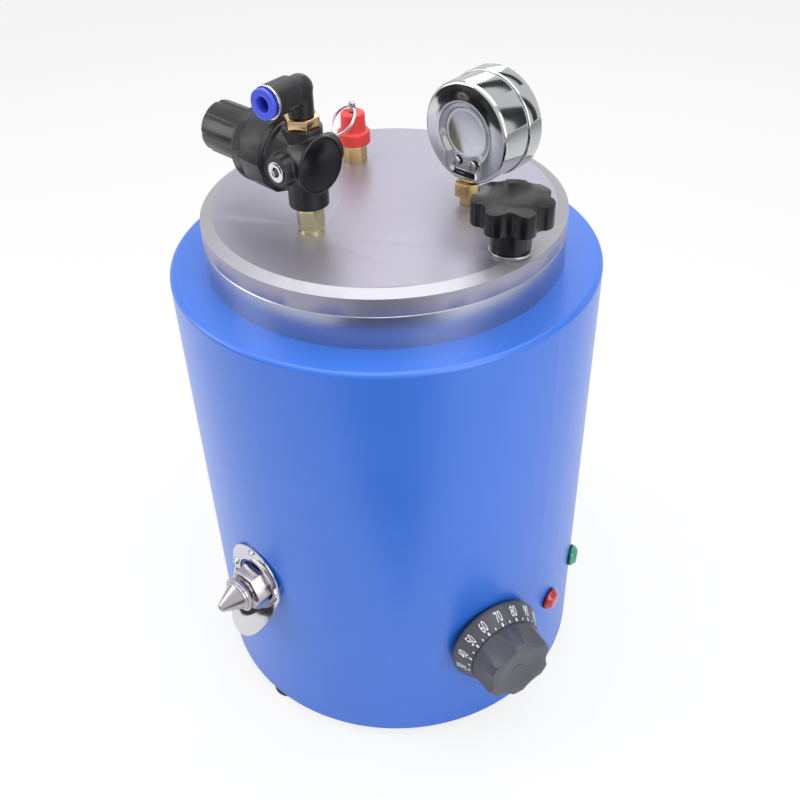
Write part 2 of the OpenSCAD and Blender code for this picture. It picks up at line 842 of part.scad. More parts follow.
// Two screws of the mains inlet
module inlet_screws() {
    color("silver") facing(inlet_az, case_r + seat_gap + inlet_flange_t, inlet_z) inlet_screw_places() {
        cylinder(h = inlet_screw_head_h, d1 = inlet_screw_head_d, d2 = inlet_screw_head_d*lens_front_share);
        translate([0, 0, -inlet_screw_l]) cylinder(h = inlet_screw_l + inlet_screw_head_h/2, d = inlet_screw_d);
    }
}

// Plated brass valve body: its shank screws into the pot's boss
module nozzle_valve_body() {
    color("silver") facing(nozzle_az, 0, nozzle_z) difference() {
        union() {
            translate([0, 0, shank_end]) cylinder(h = hex_back - shank_end + over, r = shank_r);
            translate([0, 0, hex_back]) rotate([0, 0, 30]) hex_prism(valve_hex_af, hex_front - hex_back);
        }
        translate([0, 0, shank_end - over]) cylinder(h = hex_front - shank_end + 2*over, r = wax_way_r);
        translate([0, 0, spring_floor]) cylinder(h = hex_front - spring_floor + over, r = tip_bore_r + run_fit);
    }
}

// Moving nozzle: a sleeve in the valve body, a collar and a cone that the mould is pressed on
module nozzle_tip() {
    color("silver") facing(nozzle_az, 0, nozzle_z) difference() {
        rotate_extrude() polygon([[0, tip_back], [tip_bore_r, tip_back], [tip_bore_r, collar_back],
            [collar_d/2, collar_back], [collar_d/2, collar_back + collar_t], [step_r, collar_back + collar_t],
            [step_r, cone_back], [cone_r, cone_back], [tip_r, cone_front], [0, cone_front]]);
        translate([0, 0, tip_back - over]) cylinder(h = collar_back - tip_back + over, r = sleeve_bore_r);
        translate([0, 0, tip_back]) cylinder(h = cone_front - tip_back + over, d = wax_hole_d);
    }
}

// Needle that the nozzle pushes off its seat inside the pot
module nozzle_needle() {
    color("gray") facing(nozzle_az, 0, nozzle_z) {
        translate([0, 0, shank_end - needle_head_t - run_fit]) cylinder(h = needle_head_t, r = needle_head_r);
        translate([0, 0, shank_end - needle_head_t/2])
            cylinder(h = needle_ring_back + needle_ring_t - shank_end + needle_head_t/2, r = needle_r);
        for (a = [0, 90]) rotate([0, 0, a]) translate([-needle_r/2, run_fit - sleeve_bore_r, needle_ring_back])
            intersection() {
                cube([needle_r, 2*(sleeve_bore_r - run_fit), needle_ring_t]);
                translate([needle_r/2, sleeve_bore_r - run_fit, 0])
                    cylinder(h = needle_ring_t, r = sleeve_bore_r - run_fit);
            }
    }
}

// Spring that brings the nozzle back out
module nozzle_spring() {
    l = tip_back - spring_floor - 2*seat_gap;
    color("darkgray") facing(nozzle_az, spring_floor + seat_gap, nozzle_z)
        coil(nozzle_spring_r, nozzle_spring_wire, l, nozzle_spring_turns);
}

// Repeats a piece at each screw of the nozzle's plate: above the nozzle and on both sides
module guard_screw_places() {
    translate([guard_screw_inset - guard_high, 0, 0]) children();
    for (s = [-1, 1]) translate([0, s*guard_screw_side, 0]) children();
}

// Outline of the plate, local X down, stretched by k below its bend
function guard_outline(k) = [for (a = [0:5:355])
    let (x = cos(a)*(cos(a) > 0 ? guard_low : guard_high))
    [x > guard_bend ? guard_bend + (x - guard_bend)*k : x, guard_w/2*sin(a)]];

// Part of the plate on one side of its bend, in the plane of the sheet
module guard_sheet(k, side) {
    linear_extrude(guard_t) intersection() {
        polygon(guard_outline(k));
        translate([guard_bend + (side - 1)*guard_low, -guard_w]) square([2*guard_low, 2*guard_w]);
    }
}

// Polished plate round the nozzle, its lower half bent out to catch drips
module nozzle_plate() {
    color("silver") facing(nozzle_az, case_r + guard_seat, nozzle_z + guard_up) difference() {
        union() {
            guard_sheet(1, -1);
            translate([guard_bend, 0, 0]) rotate([0, -lip_angle, 0]) translate([-guard_bend, 0, 0])
                guard_sheet(1/cos(lip_angle), 1);
        }
        translate([guard_up, 0, -over]) for (x = [-guard_hole_high, guard_hole_low])
            translate([x, 0, 0]) cylinder(h = guard_low, r = guard_hole_r);
        translate([guard_up - guard_hole_high, -guard_hole_r, -over])
            cube([guard_hole_high + guard_hole_low, 2*guard_hole_r, guard_low]);
        guard_screw_places() translate([0, 0, -over])
            cylinder(h = guard_t + 2*over, d = guard_screw_d + 2*thread_fit);
    }
}

// Three small screws of the nozzle's plate
module guard_screws() {
    z = guard_seat + guard_t;
    color("silver") facing(nozzle_az, case_r + z, nozzle_z + guard_up) guard_screw_places() difference() {
        union() {
            cylinder(h = guard_screw_head_h, d1 = guard_screw_head_d, d2 = guard_screw_head_d*grip_top_share);
            translate([0, 0, -guard_screw_l])
                cylinder(h = guard_screw_l + guard_screw_head_h/2, d = guard_screw_d);
        }
        translate([0, 0, guard_screw_head_h])
            cube([guard_screw_head_d + over, slot_w, 2*slot_depth], center = true);
    }
}

// Grip of the thermostat's knob, with shallow hollows round it and a dished front
module thermostat_knob() {
    r = grip_d/2;
    top_r = r*grip_front_share;
    dish = grip_dish_r*grip_dish_r/(2*grip_dish_depth) + grip_dish_depth/2;
    color("dimgray") facing(thermostat_az, grip_back, thermostat_z) difference() {
        union() {
            rotate_extrude() polygon([[0, 0], [r, 0], [top_r, grip_h - grip_round], [top_r - grip_round, grip_h],
                [0, grip_h]]);
            translate([0, 0, -skirt_h + skirt_gap]) cylinder(h = skirt_h - skirt_gap + over, d = knob_boss_d);
        }
        for (i = [0:grip_lobes - 1]) rotate([0, 0, 360*(i + 0.5)/grip_lobes])
            translate([r + top_r, 0, grip_flute_start]) rotate([0, -grip_flute_tilt, 0])
                cylinder(h = 2*grip_h, r = top_r);
        translate([0, 0, grip_h + dish - grip_dish_depth]) sphere(r = dish);
        translate([0, 0, -skirt_h]) cylinder(h = skirt_h + spindle_front - grip_back + loose_fit,
            d = spindle_d + 2*thread_fit);
    }
}

// Conical skirt that carries the numbers
module thermostat_skirt() {
    r = skirt_d/2;
    color("dimgray") facing(thermostat_az, skirt_back, thermostat_z) rotate_extrude() polygon([
        [r - skirt_t, 0], [r, 0], [r, skirt_rim_h], [skirt_top_r, skirt_h], [knob_boss_d/2 + thread_fit, skirt_h],
        [knob_boss_d/2 + thread_fit, skirt_h - skirt_t], [skirt_top_r - skirt_t, skirt_h - skirt_t],
        [r - skirt_t, skirt_rim_h]]);
}

// Steel spindle that the knob turns
module thermostat_spindle() {
    back = case_r - case_t - thermostat_box_gap - thermostat_box_l/2 + seat_gap;
    color("silver") facing(thermostat_az, back, thermostat_z) cylinder(h = spindle_front - back, d = spindle_d);
}

// Silicone ring in the flange's groove: it turns with the lid and stays when the lid is lifted
module lid_gasket() {
    h = groove_depth - gasket_top_gap;
    color("firebrick") translate([0, 0, flange_top - groove_depth])
        tube(groove_r + groove_w - gasket_side_gap, groove_r + gasket_side_gap, h);
}

// Turned aluminium lid with its plug and three bayonet lugs
module lid() {
    color("silver") difference() {
        union() {
            rotate_extrude($fn = 180) polygon([[0, plug_bottom], [plug_r, plug_bottom], [plug_r, flange_top],
                [lid_r, flange_top], [lid_r, lid_top - lid_bevel_h], [lid_r - lid_bevel_w, lid_top], [0, lid_top]]);
            for (i = [0:lug_count - 1])
                ring_part(plug_r - lug_step, mouth_r - lid_lug_side_gap, plug_bottom, lid_lug_t,
                    lid_lug_start + 360*i/lug_count, lug_angle);
        }
        translate([0, 0, plug_bottom - over]) cylinder(h = plug_recess_h + over, r = plug_recess_r);
        for (p = [[reg_az, port_thread_r], [gauge_az, gauge_thread_r], [valve_az, valve_thread_r]])
            translate([-port_shift, 0, plug_bottom]) rotate([0, 0, p[0]]) translate([port_circle_r, 0, 0])
                cylinder(h = lid_top - plug_bottom + over, r = p[1] + thread_fit);
        translate([star_x, 0, plug_bottom]) cylinder(h = lid_top - plug_bottom + over, r = stud_d/2 + run_fit);
    }
}

// Bright washer under the star knob
module knob_washer() {
    color("silver") translate([star_x, 0, lid_top]) tube(washer_r, stud_d/2 + thread_fit, washer_t);
}

// Threaded stud of the star knob: it jams on the flange to lock the lid
module knob_stud() {
    color("silver") translate([star_x, 0, stud_bottom])
        cylinder(h = star_top - stud_top_gap - stud_bottom, d = stud_d);
}

// Outline of the star knob's head
module star_outline() {
    lobe_at = star_d/2 - star_lobe_r;
    valley_at = star_d/2 + star_valley_r/4;
    difference() {
        union() {
            circle(r = lobe_at + star_lobe_r/2);
            for (i = [0:star_lobes - 1]) rotate(star_turn + 360*i/star_lobes)
                translate([lobe_at, 0]) circle(r = star_lobe_r);
        }
        for (i = [0:star_lobes - 1]) rotate(star_turn + 360*(i + 0.5)/star_lobes)
            translate([valley_at, 0]) circle(r = star_valley_r);
    }
}

// Star knob on the lid
module lid_knob() {
    color("black") difference() {
        translate([star_x, 0, 0]) union() {
            translate([0, 0, star_hub_z]) cylinder(h = star_hub_h + over, d = star_hub_d);
            intersection() {
                translate([0, 0, star_z]) linear_extrude(star_head_h) star_outline();
                rotate_extrude() polygon([[0, star_z], [star_d/2 + over, star_z],
                    [star_d/2 + over, star_top - star_crown_h],
                    [star_d/2 - star_crown_h/2, star_top - star_crown_h/2],
                    [star_d/4, star_top], [0, star_top]]);
            }
        }
        translate([star_x, 0, star_hub_z - over])
            cylinder(h = star_top - stud_top_gap - star_hub_z + over + seat_gap, r = stud_d/2 + run_fit);
    }
}

// Plated nipple between the lid and the regulator
module regulator_nipple() {
    hex_top = reg_z - reg_low_l - lid_top;
    color("khaki") translate([reg_x, reg_y, lid_top]) difference() {
        union() {
            translate([0, 0, -nipple_thread_l]) cylinder(h = nipple_thread_l + hex_top + nipple_thread_l,
                r = port_thread_r);
            cylinder(h = nipple_collar_t, r = nipple_collar_r);
            translate([0, 0, nipple_collar_t]) rotate([0, 0, hex_turn])
                hex_prism(nipple_af, hex_top - nipple_collar_t);
        }
        translate([0, 0, -nipple_thread_l - over])
            cylinder(h = 2*nipple_thread_l + hex_top + 2*over, r = nipple_bore_r);
    }
}

// Moulded regulator body: two upright ports, two side ports and a flange for the bonnet
module regulator_body() {
    color("dimgray") difference() {
        union() {
            on_regulator() rotate_extrude() polygon([[0, -reg_back], [reg_cap_r + seat_gap, -reg_back],
                [reg_cap_r + seat_gap, -reg_end], [reg_body_r - reg_rim_h, -reg_end],
                [reg_body_r, -reg_end + reg_rim_h], [reg_body_r, 0],
                [reg_flange_d/2 - reg_flange_t, reg_flare_back],
                [reg_flange_d/2, reg_flange_back], [reg_flange_d/2, reg_face], [0, reg_face]]);
            translate([reg_x, reg_y, reg_z - reg_low_l]) cylinder(h = reg_low_l, r = reg_low_r);
            translate([reg_x, reg_y, reg_z]) cylinder(h = reg_high_l, r = reg_high_r);
            for (s = [-1, 1]) translate([reg_x, reg_y, reg_z]) rotate([90*s, 0, 0])
                cylinder(h = reg_side_l, r1 = reg_side_r, r2 = reg_side_tip_r);
        }
        translate([reg_x, reg_y, reg_z - reg_low_l - over])
            cylinder(h = reg_bore_l + over, r = port_thread_r + thread_fit);
        translate([reg_x, reg_y, reg_z - reg_low_l]) cylinder(h = reg_low_l, r = reg_way_r);
        translate([reg_x, reg_y, reg_z + reg_high_l - reg_bore_l])
            cylinder(h = reg_bore_l + over, r = port_thread_r + thread_fit);
        for (s = [-1, 1]) translate([reg_x, reg_y, reg_z]) rotate([90*s, 0, 0])
            translate([0, 0, reg_side_l - reg_plug_l])
                cylinder(h = reg_plug_l + over, r = reg_plug_r + thread_fit);
        on_regulator() {
            translate([0, 0, -reg_back - over])
                cylinder(h = reg_back + poppet_cave_end + over, r = poppet_cave_r + thread_fit);
            cylinder(h = reg_face + over, r = poppet_r + run_fit);
            translate([0, 0, reg_face - diaphragm_t - seat_gap])
                cylinder(h = diaphragm_t + seat_gap + over, r = bonnet_bore_r + seat_gap);
        }
    }
}

// Bonnet over the regulator's spring, with flats round it and a threaded neck
module regulator_bonnet() {
    color("dimgray") on_regulator() difference() {
        union() {
            translate([0, 0, reg_face]) cylinder(h = bonnet_bevel, r1 = reg_flange_d/2,
                r2 = bonnet_r*cos(180/bonnet_sides));
            translate([0, 0, reg_face + bonnet_bevel])
                cylinder(h = bonnet_end - reg_face - bonnet_bevel, r = bonnet_r, $fn = bonnet_sides);
            translate([0, 0, bonnet_end - over]) cylinder(h = bonnet_neck_l + over, r = bonnet_neck_r);
        }
        translate([0, 0, reg_face - over])
            cylinder(h = bonnet_end - bonnet_cap_t - reg_face + over, r = bonnet_bore_r - bonnet_cap_t/4);
        translate([0, 0, reg_face]) cylinder(h = bonnet_end, r = reg_screw_r + run_fit);
    }
}

// Blank cap at the foot of the regulator's main axis
module regulator_end_cap() {
    color("black") on_regulator() {
        translate([0, 0, -reg_back - reg_cap_t]) cylinder(h = reg_cap_t, r = reg_cap_r);
        translate([0, 0, -reg_back - reg_cap_t/2])
            cylinder(h = reg_cap_plug_l + reg_cap_t/2, r = poppet_cave_r);
    }
}

// Plugs with a six-sided socket in the regulator's two side ports
module regulator_plugs() {
    color("silver") for (s = [-1, 1]) translate([reg_x, reg_y, reg_z]) rotate([90*s, 0, 0]) difference() {
        translate([0, 0, reg_side_l - reg_plug_l]) cylinder(h = reg_plug_l + reg_plug_proud, r = reg_plug_r);
        translate([0, 0, reg_side_l - reg_plug_l/2]) hex_prism(reg_plug_key, reg_plug_l);
    }
}

// Rubber diaphragm clamped under the bonnet
module regulator_diaphragm() {
    color("black") on_regulator() translate([0, 0, reg_face - diaphragm_t])
        cylinder(h = diaphragm_t, r = bonnet_bore_r);
}

// Spring that the regulator's screw loads
module regulator_spring() {
    l = reg_screw_back - spring_seat_t - reg_face - 2*seat_gap;
    color("darkgray") on_regulator() translate([0, 0, reg_face + seat_gap])
        coil(reg_spring_r, reg_spring_wire, l, reg_spring_turns);
}

// Poppet that the diaphragm pushes open
module regulator_poppet() {
    color("gold") on_regulator() {
        translate([0, 0, -poppet_back]) cylinder(h = poppet_head_t, r = poppet_head_r);
        translate([0, 0, -poppet_head_t])
            cylinder(h = reg_face - diaphragm_t - 2*seat_gap + poppet_head_t, r = poppet_r);
    }
}

// Knurled ring on the bonnet's neck
module regulator_lock_ring() {
    r = lock_ring_d/2 - lock_tooth_h;
    color("black") on_regulator() translate([0, 0, lock_ring_back]) difference() {
        linear_extrude(lock_ring_l) polygon(toothed(r, lock_tooth_h, lock_ring_teeth));
        translate([0, 0, -over]) cylinder(h = lock_ring_l + 2*over, r = bonnet_neck_r + thread_fit);
    }
}

// Adjusting screw with its spring seat, driven by the knob
module regulator_screw() {
    color("silver") on_regulator() {
        translate([0, 0, reg_screw_back - spring_seat_t])
            cylinder(h = reg_screw_end - reg_screw_back + spring_seat_t, r = reg_screw_r);
        translate([0, 0, reg_screw_back - spring_seat_t]) cylinder(h = spring_seat_t, r = spring_seat_r);
    }
}

// Pull-to-turn knob of the regulator, with shallow flutes
module regulator_knob() {
    end = reg_knob_back + reg_knob_l;
    color("black") on_regulator() difference() {
        rotate_extrude() polygon([[0, reg_knob_back], [reg_knob_r, reg_knob_back],
            [reg_knob_r, end - reg_knob_round], [reg_knob_r - reg_knob_round, end], [0, end]]);
        for (i = [0:reg_knob_flutes - 1]) rotate([0, 0, 360*i/reg_knob_flutes])
            translate([reg_knob_r + reg_flute_r - reg_flute_depth, 0, reg_knob_back + reg_knob_band])
                cylinder(h = reg_knob_l - reg_knob_band + over, r = reg_flute_r);
        translate([0, 0, reg_knob_back - over]) cylinder(h = reg_knob_cave + over, r = reg_knob_r - reg_knob_wall);
        translate([0, 0, reg_knob_back]) cylinder(h = reg_screw_end - reg_knob_back + seat_gap,
            r = reg_screw_r + run_fit);
    }
}

// Plated adapter between the regulator's top port and the push-in elbow
module elbow_adapter() {
    color("khaki") translate([reg_x, reg_y, adapter_z]) difference() {
        union() {
            translate([0, 0, -adapter_thread_l]) cylinder(h = adapter_thread_l + adapter_h/2, r = port_thread_r);
            rotate([0, 0, hex_turn]) hex_prism(adapter_af, adapter_h);
            cylinder(h = adapter_h + adapter_neck_l, r = adapter_neck_r);
        }
        translate([0, 0, -adapter_thread_l - over])
            cylinder(h = adapter_thread_l + adapter_h + adapter_neck_l + 2*over, r = nipple_bore_r);
    }
}

// Push-in elbow that turns on the adapter
module elbow_body() {
    color("dimgray") difference() {
        union() {
            translate([reg_x, reg_y, elbow_low]) cylinder(h = elbow_z - elbow_low, r = elbow_r);
            on_barrel() rotate_extrude() polygon(concat(
                [for (a = [0:15:75]) [elbow_side_r*sin(a), -elbow_side_r*cos(a)]],
                [[elbow_side_r, 0], [elbow_side_r, sleeve_back],
                [barrel_r, sleeve_back + sleeve_bevel], [barrel_r, barrel_l], [0, barrel_l]]));
        }
        translate([reg_x, reg_y, elbow_low - over])
            cylinder(h = adapter_neck_l + over + seat_gap, r = adapter_neck_r + run_fit);
        translate([reg_x, reg_y, elbow_low]) cylinder(h = elbow_z - elbow_low, r = nipple_bore_r);
        on_barrel() translate([0, 0, -elbow_way_r]) cylinder(h = barrel_l, r = elbow_way_r);
        on_barrel() translate([0, 0, barrel_l - barrel_bore_l])
            cylinder(h = barrel_bore_l + over, r = barrel_bore_r);
    }
}

// Thin steel ring on the barrel's mouth
module elbow_ring() {
    color("silver") on_barrel() translate([0, 0, barrel_l])
        tube(barrel_r, barrel_bore_r + seat_gap, elbow_ring_t);
}

// Blue release collet that holds the hose
module elbow_collet() {
    flange_back = barrel_l + elbow_ring_t + collet_gap;
    color("royalblue") on_barrel() difference() {
        union() {
            translate([0, 0, flange_back]) cylinder(h = collet_flange_t, r = collet_flange_r);
            translate([0, 0, flange_back - collet_l]) cylinder(h = collet_l + over/2, r = hose_r + collet_wall);
        }
        translate([0, 0, flange_back - collet_l - over])
            cylinder(h = collet_l + collet_flange_t + 2*over, r = hose_r);
    }
}

// Brass base of the safety valve
module valve_base() {
    color("darkgoldenrod") translate([valve_x, valve_y, lid_top]) difference() {
        union() {
            translate([0, 0, -nipple_thread_l]) cylinder(h = nipple_thread_l + over, r = valve_thread_r);
            rotate([0, 0, valve_base_turn]) hex_prism(valve_base_af, valve_hex_h);
        }
        translate([0, 0, -nipple_thread_l - over])
            cylinder(h = nipple_thread_l + valve_hex_h + 2*over, r = valve_way_r);
        translate([0, 0, valve_seat_h]) cylinder(h = valve_hex_h, r = valve_cave_r);
    }
}

// Red cap over the safety valve's spring
module valve_cap() {
    top = valve_hex_h + valve_cap_h;
    color("red") translate([valve_x, valve_y, lid_top]) difference() {
        rotate_extrude() polygon([[0, valve_hex_h], [valve_collar_d/2, valve_hex_h],
            [valve_collar_d/2, valve_hex_h + valve_collar_h - flange_chamfer],
            [valve_collar_d/2 - flange_chamfer, valve_hex_h + valve_collar_h],
            [valve_tower_d/2, valve_hex_h + valve_collar_h],
            [valve_tower_top_r, top - flange_chamfer], [valve_tower_top_r - flange_chamfer, top], [0, top]]);
        translate([0, 0, valve_hex_h - over])
            cylinder(h = valve_cap_h - valve_top_t + over, r = valve_cave_r);
        cylinder(h = top + over, r = stem_r + stem_gap);
    }
}

// Stem of the safety valve: plug, spring seat and a head with a cross hole
module valve_stem() {
    head = valve_hex_h + valve_cap_h + stem_head_gap;
    color("silver") translate([valve_x, valve_y, lid_top]) difference() {
        union() {
            translate([0, 0, valve_seat_h + run_fit]) cylinder(h = stem_plug_h, r = stem_plug_r);
            translate([0, 0, valve_seat_h + stem_plug_h/2])
                cylinder(h = head + stem_head_h - valve_seat_h - stem_plug_h, r = stem_r);
            translate([0, 0, stem_disc_up]) cylinder(h = stem_disc_h, r = stem_disc_r);
            translate([0, 0, head]) cylinder(h = stem_head_h, r = stem_head_r);
        }
        translate([0, 0, head + stem_head_h/2]) rotate([0, 0, ring_az]) rotate([90, 0, 0])
            cylinder(h = 4*stem_head_r, r = ring_hole_r, center = true);
    }
}

// Spring that keeps the safety valve shut
module valve_spring() {
    low = stem_disc_up + stem_disc_h + seat_gap;
    high = valve_hex_h + valve_cap_h - valve_top_t - seat_gap;
    color("darkgray") translate([valve_x, valve_y, lid_top + low])
        coil(valve_spring_r, valve_spring_wire, high - low, valve_spring_turns);
}

// Split ring that hangs from the stem and leans on the red cap
module pull_ring() {
    bend = ring_d/2 - ring_wire_r;
    head = valve_hex_h + valve_cap_h + stem_head_gap;
    color("silver") translate([valve_x, valve_y, lid_top + head + stem_head_h/2]) rotate([0, 0, ring_az])
        rotate([0, -ring_lean, 0]) translate([0, 0, -bend]) rotate([0, 90, 0])
            rotate_extrude() for (s = [-1, 1])
                translate([bend, s*ring_turn_gap/2]) circle(r = ring_wire_r, $fn = 20);
}

// Brass socket of the gauge: thread, hexagon, stem and the block that carries the movement
module gauge_socket() {
    block_low = gauge_r - gauge_t - loose_fit;
    color("darkgoldenrod") {
        difference() {
            translate([gauge_x, gauge_y, lid_top]) union() {
                translate([0, 0, -nipple_thread_l])
                    cylinder(h = nipple_thread_l + gauge_up - gauge_r - gauge_hex_h + over/2, r = gauge_thread_r);
                translate([0, 0, gauge_up - gauge_r - gauge_hex_h - loose_fit])
                    hex_prism(gauge_hex_af, gauge_hex_h);
                translate([0, 0, gauge_up - gauge_r - gauge_hex_h]) cylinder(h = gauge_hex_h + gauge_block_h/2,
                    r = gauge_stem_r);
            }
            translate([gauge_x, gauge_y, lid_top - nipple_thread_l - over])
                cylinder(h = nipple_thread_l + gauge_up - gauge_r + over, r = valve_way_r/2);
        }
        on_gauge() difference() {
            union() {
                translate([-gauge_block_w/2, block_low - gauge_block_h - gauge_t, gauge_block_at])
                    cube([gauge_block_w, gauge_block_h, gauge_block_l]);
                translate([-plate_w/2, -plate_w/2, plate_at])
                    cube([plate_w, plate_w/2 + block_low - gauge_t, plate_t]);
                translate([-plate_w/2, block_low - gauge_block_h - gauge_t, 0]) cube([plate_w, gauge_block_h/2,
                    plate_at + plate_t]);
                translate([0, sector_pivot, plate_at]) cylinder(h = sector_at + sector_t + loose_fit - plate_at,
                    r = sector_pin_r);
            }
            translate([0, 0, plate_at - over]) cylinder(h = plate_t + 2*over, r = arbor_r + run_fit);
        }
    }
}

// Pressed steel case of the gauge
module gauge_case() {
    inner = gauge_r - gauge_t;
    color("silver") difference() {
        on_gauge() rotate_extrude($fn = 96) polygon([[0, gauge_back], [gauge_r - gauge_edge, gauge_back],
            [gauge_r, gauge_back + gauge_edge], [gauge_r, gauge_front], [inner, gauge_front],
            [inner, gauge_back + gauge_edge],
            [inner - gauge_edge, gauge_back + gauge_floor_t], [0, gauge_back + gauge_floor_t]]);
        translate([gauge_x, gauge_y, gauge_z - gauge_r - over])
            cylinder(h = gauge_edge*2 + over, r = gauge_stem_r + gauge_hole_gap);
        on_gauge() translate([0, 0, gauge_back - over]) {
            cylinder(h = gauge_recess + over, r1 = dish_r, r2 = dish_low_r);
            translate([-dish_neck_x - dish_neck_r, 0, 0])
                cube([2*(dish_neck_x + dish_neck_r), dish_neck_down, gauge_recess + over]);
            translate([-dish_neck_x, dish_neck_down - dish_neck_r, 0])
                cube([2*dish_neck_x, 2*dish_neck_r, gauge_recess + over]);
            for (s = [-1, 1]) translate([s*dish_neck_x, dish_neck_down, 0])
                cylinder(h = gauge_recess + over, r = dish_neck_r);
            back_screw_places() cylinder(h = gauge_floor_t + 2*over, r = back_screw_core_r + thread_fit);
        }
    }
}

// Front ring that holds the gauge's glass
module gauge_bezel() {
    front = bezel_back + bezel_l;
    r = bezel_d/2;
    color("silver") on_gauge() rotate_extrude($fn = 96) polygon([[r - bezel_t, bezel_back],
        [r - bezel_t/2, bezel_back], [r, bezel_back + bezel_t/2], [r, front - bezel_t], [r - bezel_t, front],
        [r - bezel_t - bezel_lip, front], [r - bezel_t - bezel_lip, front - bezel_t],
        [r - bezel_t, front - bezel_t]]);
}

// Dial plate of the gauge
module gauge_dial() {
    r = bezel_d/2 - bezel_t - loose_fit;
    color("white") on_gauge() translate([0, 0, bezel_back]) difference() {
        cylinder(h = dial_t, r = r);
        translate([0, 0, -over]) cylinder(h = dial_t + 2*over, r = dial_hole_r);
    }
}

// Glass of the gauge
module gauge_lens() {
    color("lightcyan", 0.4) on_gauge() translate([0, 0, lens_back])
        cylinder(h = lens_t, r = bezel_d/2 - bezel_t - loose_fit);
}

// Repeats a piece at each screw on the gauge's back
module back_screw_places() {
    for (s = [-1, 1]) translate([s*back_screw_x, back_screw_down, 0]) children();
}

// Two screws on the gauge's back
module gauge_screws() {
    color("silver") on_gauge() back_screw_places() translate([0, 0, gauge_back + gauge_recess]) {
        translate([0, 0, -back_screw_h]) difference() {
            cylinder(h = back_screw_h, r1 = back_screw_r*grip_top_share, r2 = back_screw_r);
            cube([slot_w, 3*back_screw_r, 2*slot_depth], center = true);
        }
        translate([0, 0, -slot_depth]) cylinder(h = slot_depth + gauge_floor_t - gauge_recess,
            r = back_screw_core_r);
    }
}

// Curved pressure tube inside the gauge
module bourdon_tube() {
    color("goldenrod") on_gauge() rotate([0, 0, tube_start]) rotate_extrude(angle = tube_sweep)
        translate([tube_bend_r, 0]) circle(r = tube_r, $fn = 24);
}

// Toothed sector of the movement, drawn at its pitch radius
module gauge_sector() {
    half = sector_angle/2;
    reach = 2*sector_r;
    color("goldenrod") on_gauge() translate([0, sector_pivot, sector_at])
        rotate([0, 0, -pointer_sweep/gear_ratio/2]) difference() {
        union() {
            cylinder(h = sector_t, r = sector_hub_r);
            intersection() {
                cylinder(h = sector_t, r = sector_r);
                linear_extrude(sector_t) polygon([[0, 0], [-reach*sin(half), -reach*cos(half)],
                    [reach*sin(half), -reach*cos(half)]]);
            }
        }
        translate([0, 0, -over]) cylinder(h = sector_t + 2*over, r = sector_pin_r + run_fit);
    }
}

// Pointer with its arbor and pinion, standing at zero
module gauge_pointer() {
    low = plate_at - loose_fit;
    hand_z = bezel_back + dial_t + loose_fit;
    color("black") on_gauge() {
        translate([0, 0, low]) cylinder(h = hand_z + pointer_t - low, r = arbor_r);
        translate([0, 0, sector_at - loose_fit]) cylinder(h = sector_t + 2*loose_fit, r = pinion_r);
        translate([0, 0, hand_z]) cylinder(h = 2*pointer_t, r = pointer_hub_r);
        rotate([0, 0, pointer_zero]) translate([0, 0, hand_z]) linear_extrude(pointer_t)
            polygon([[-pointer_tail, -pointer_w/2], [-pointer_tail, pointer_w/2], [0, pointer_w/2],
                [pointer_l, pointer_w/8], [pointer_l, -pointer_w/8], [0, -pointer_w/2]]);
    }
}

outer_case();
base_plate();
rubber_feet();
foot_screws();
wax_pot();
flange_screws();
heater_band();
insulation_sleeve();
thermostat_body();
thermostat_sensor();
lamp_bodies();
red_lamp_lens();
green_lamp_lens();
power_inlet();
inlet_pins();
inlet_screws();
nozzle_valve_body();
nozzle_plate();
guard_screws();
nozzle_tip();
nozzle_needle();
nozzle_spring();
thermostat_knob();
thermostat_skirt();
thermostat_spindle();
lid_gasket();
lid();
knob_washer();
knob_stud();
lid_knob();
regulator_nipple();
regulator_body();
regulator_bonnet();
regulator_end_cap();
regulator_plugs();
regulator_diaphragm();
regulator_spring();
regulator_poppet();
regulator_lock_ring();
regulator_screw();
regulator_knob();
elbow_adapter();
elbow_body();
elbow_ring();
elbow_collet();
valve_base();
valve_cap();
valve_stem();
valve_spring();
pull_ring();
gauge_socket();
gauge_case();
gauge_bezel();
gauge_dial();
gauge_lens();
gauge_screws();
bourdon_tube();
gauge_sector();
gauge_pointer();
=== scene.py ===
import json
import math
import bmesh
import bpy
from mathutils import Matrix, Vector

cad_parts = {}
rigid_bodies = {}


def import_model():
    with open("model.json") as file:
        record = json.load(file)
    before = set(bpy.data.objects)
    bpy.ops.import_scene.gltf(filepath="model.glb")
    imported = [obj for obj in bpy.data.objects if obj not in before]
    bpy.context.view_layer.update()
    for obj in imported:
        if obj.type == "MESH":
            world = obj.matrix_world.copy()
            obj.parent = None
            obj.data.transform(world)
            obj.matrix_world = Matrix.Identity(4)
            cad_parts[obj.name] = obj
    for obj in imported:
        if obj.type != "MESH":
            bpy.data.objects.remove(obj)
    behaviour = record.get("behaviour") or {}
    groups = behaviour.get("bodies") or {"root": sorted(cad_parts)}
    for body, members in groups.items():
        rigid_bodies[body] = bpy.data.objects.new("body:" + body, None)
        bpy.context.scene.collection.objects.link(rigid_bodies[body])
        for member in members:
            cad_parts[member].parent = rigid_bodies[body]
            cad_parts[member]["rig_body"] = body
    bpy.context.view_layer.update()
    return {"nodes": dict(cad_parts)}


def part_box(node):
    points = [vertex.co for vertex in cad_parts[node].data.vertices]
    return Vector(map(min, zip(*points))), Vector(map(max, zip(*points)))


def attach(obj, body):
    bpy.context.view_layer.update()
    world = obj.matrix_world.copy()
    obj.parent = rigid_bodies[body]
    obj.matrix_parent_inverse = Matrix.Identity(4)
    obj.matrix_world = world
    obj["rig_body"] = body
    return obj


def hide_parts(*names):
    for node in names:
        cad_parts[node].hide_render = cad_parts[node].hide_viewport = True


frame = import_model()
solids = frame["nodes"]

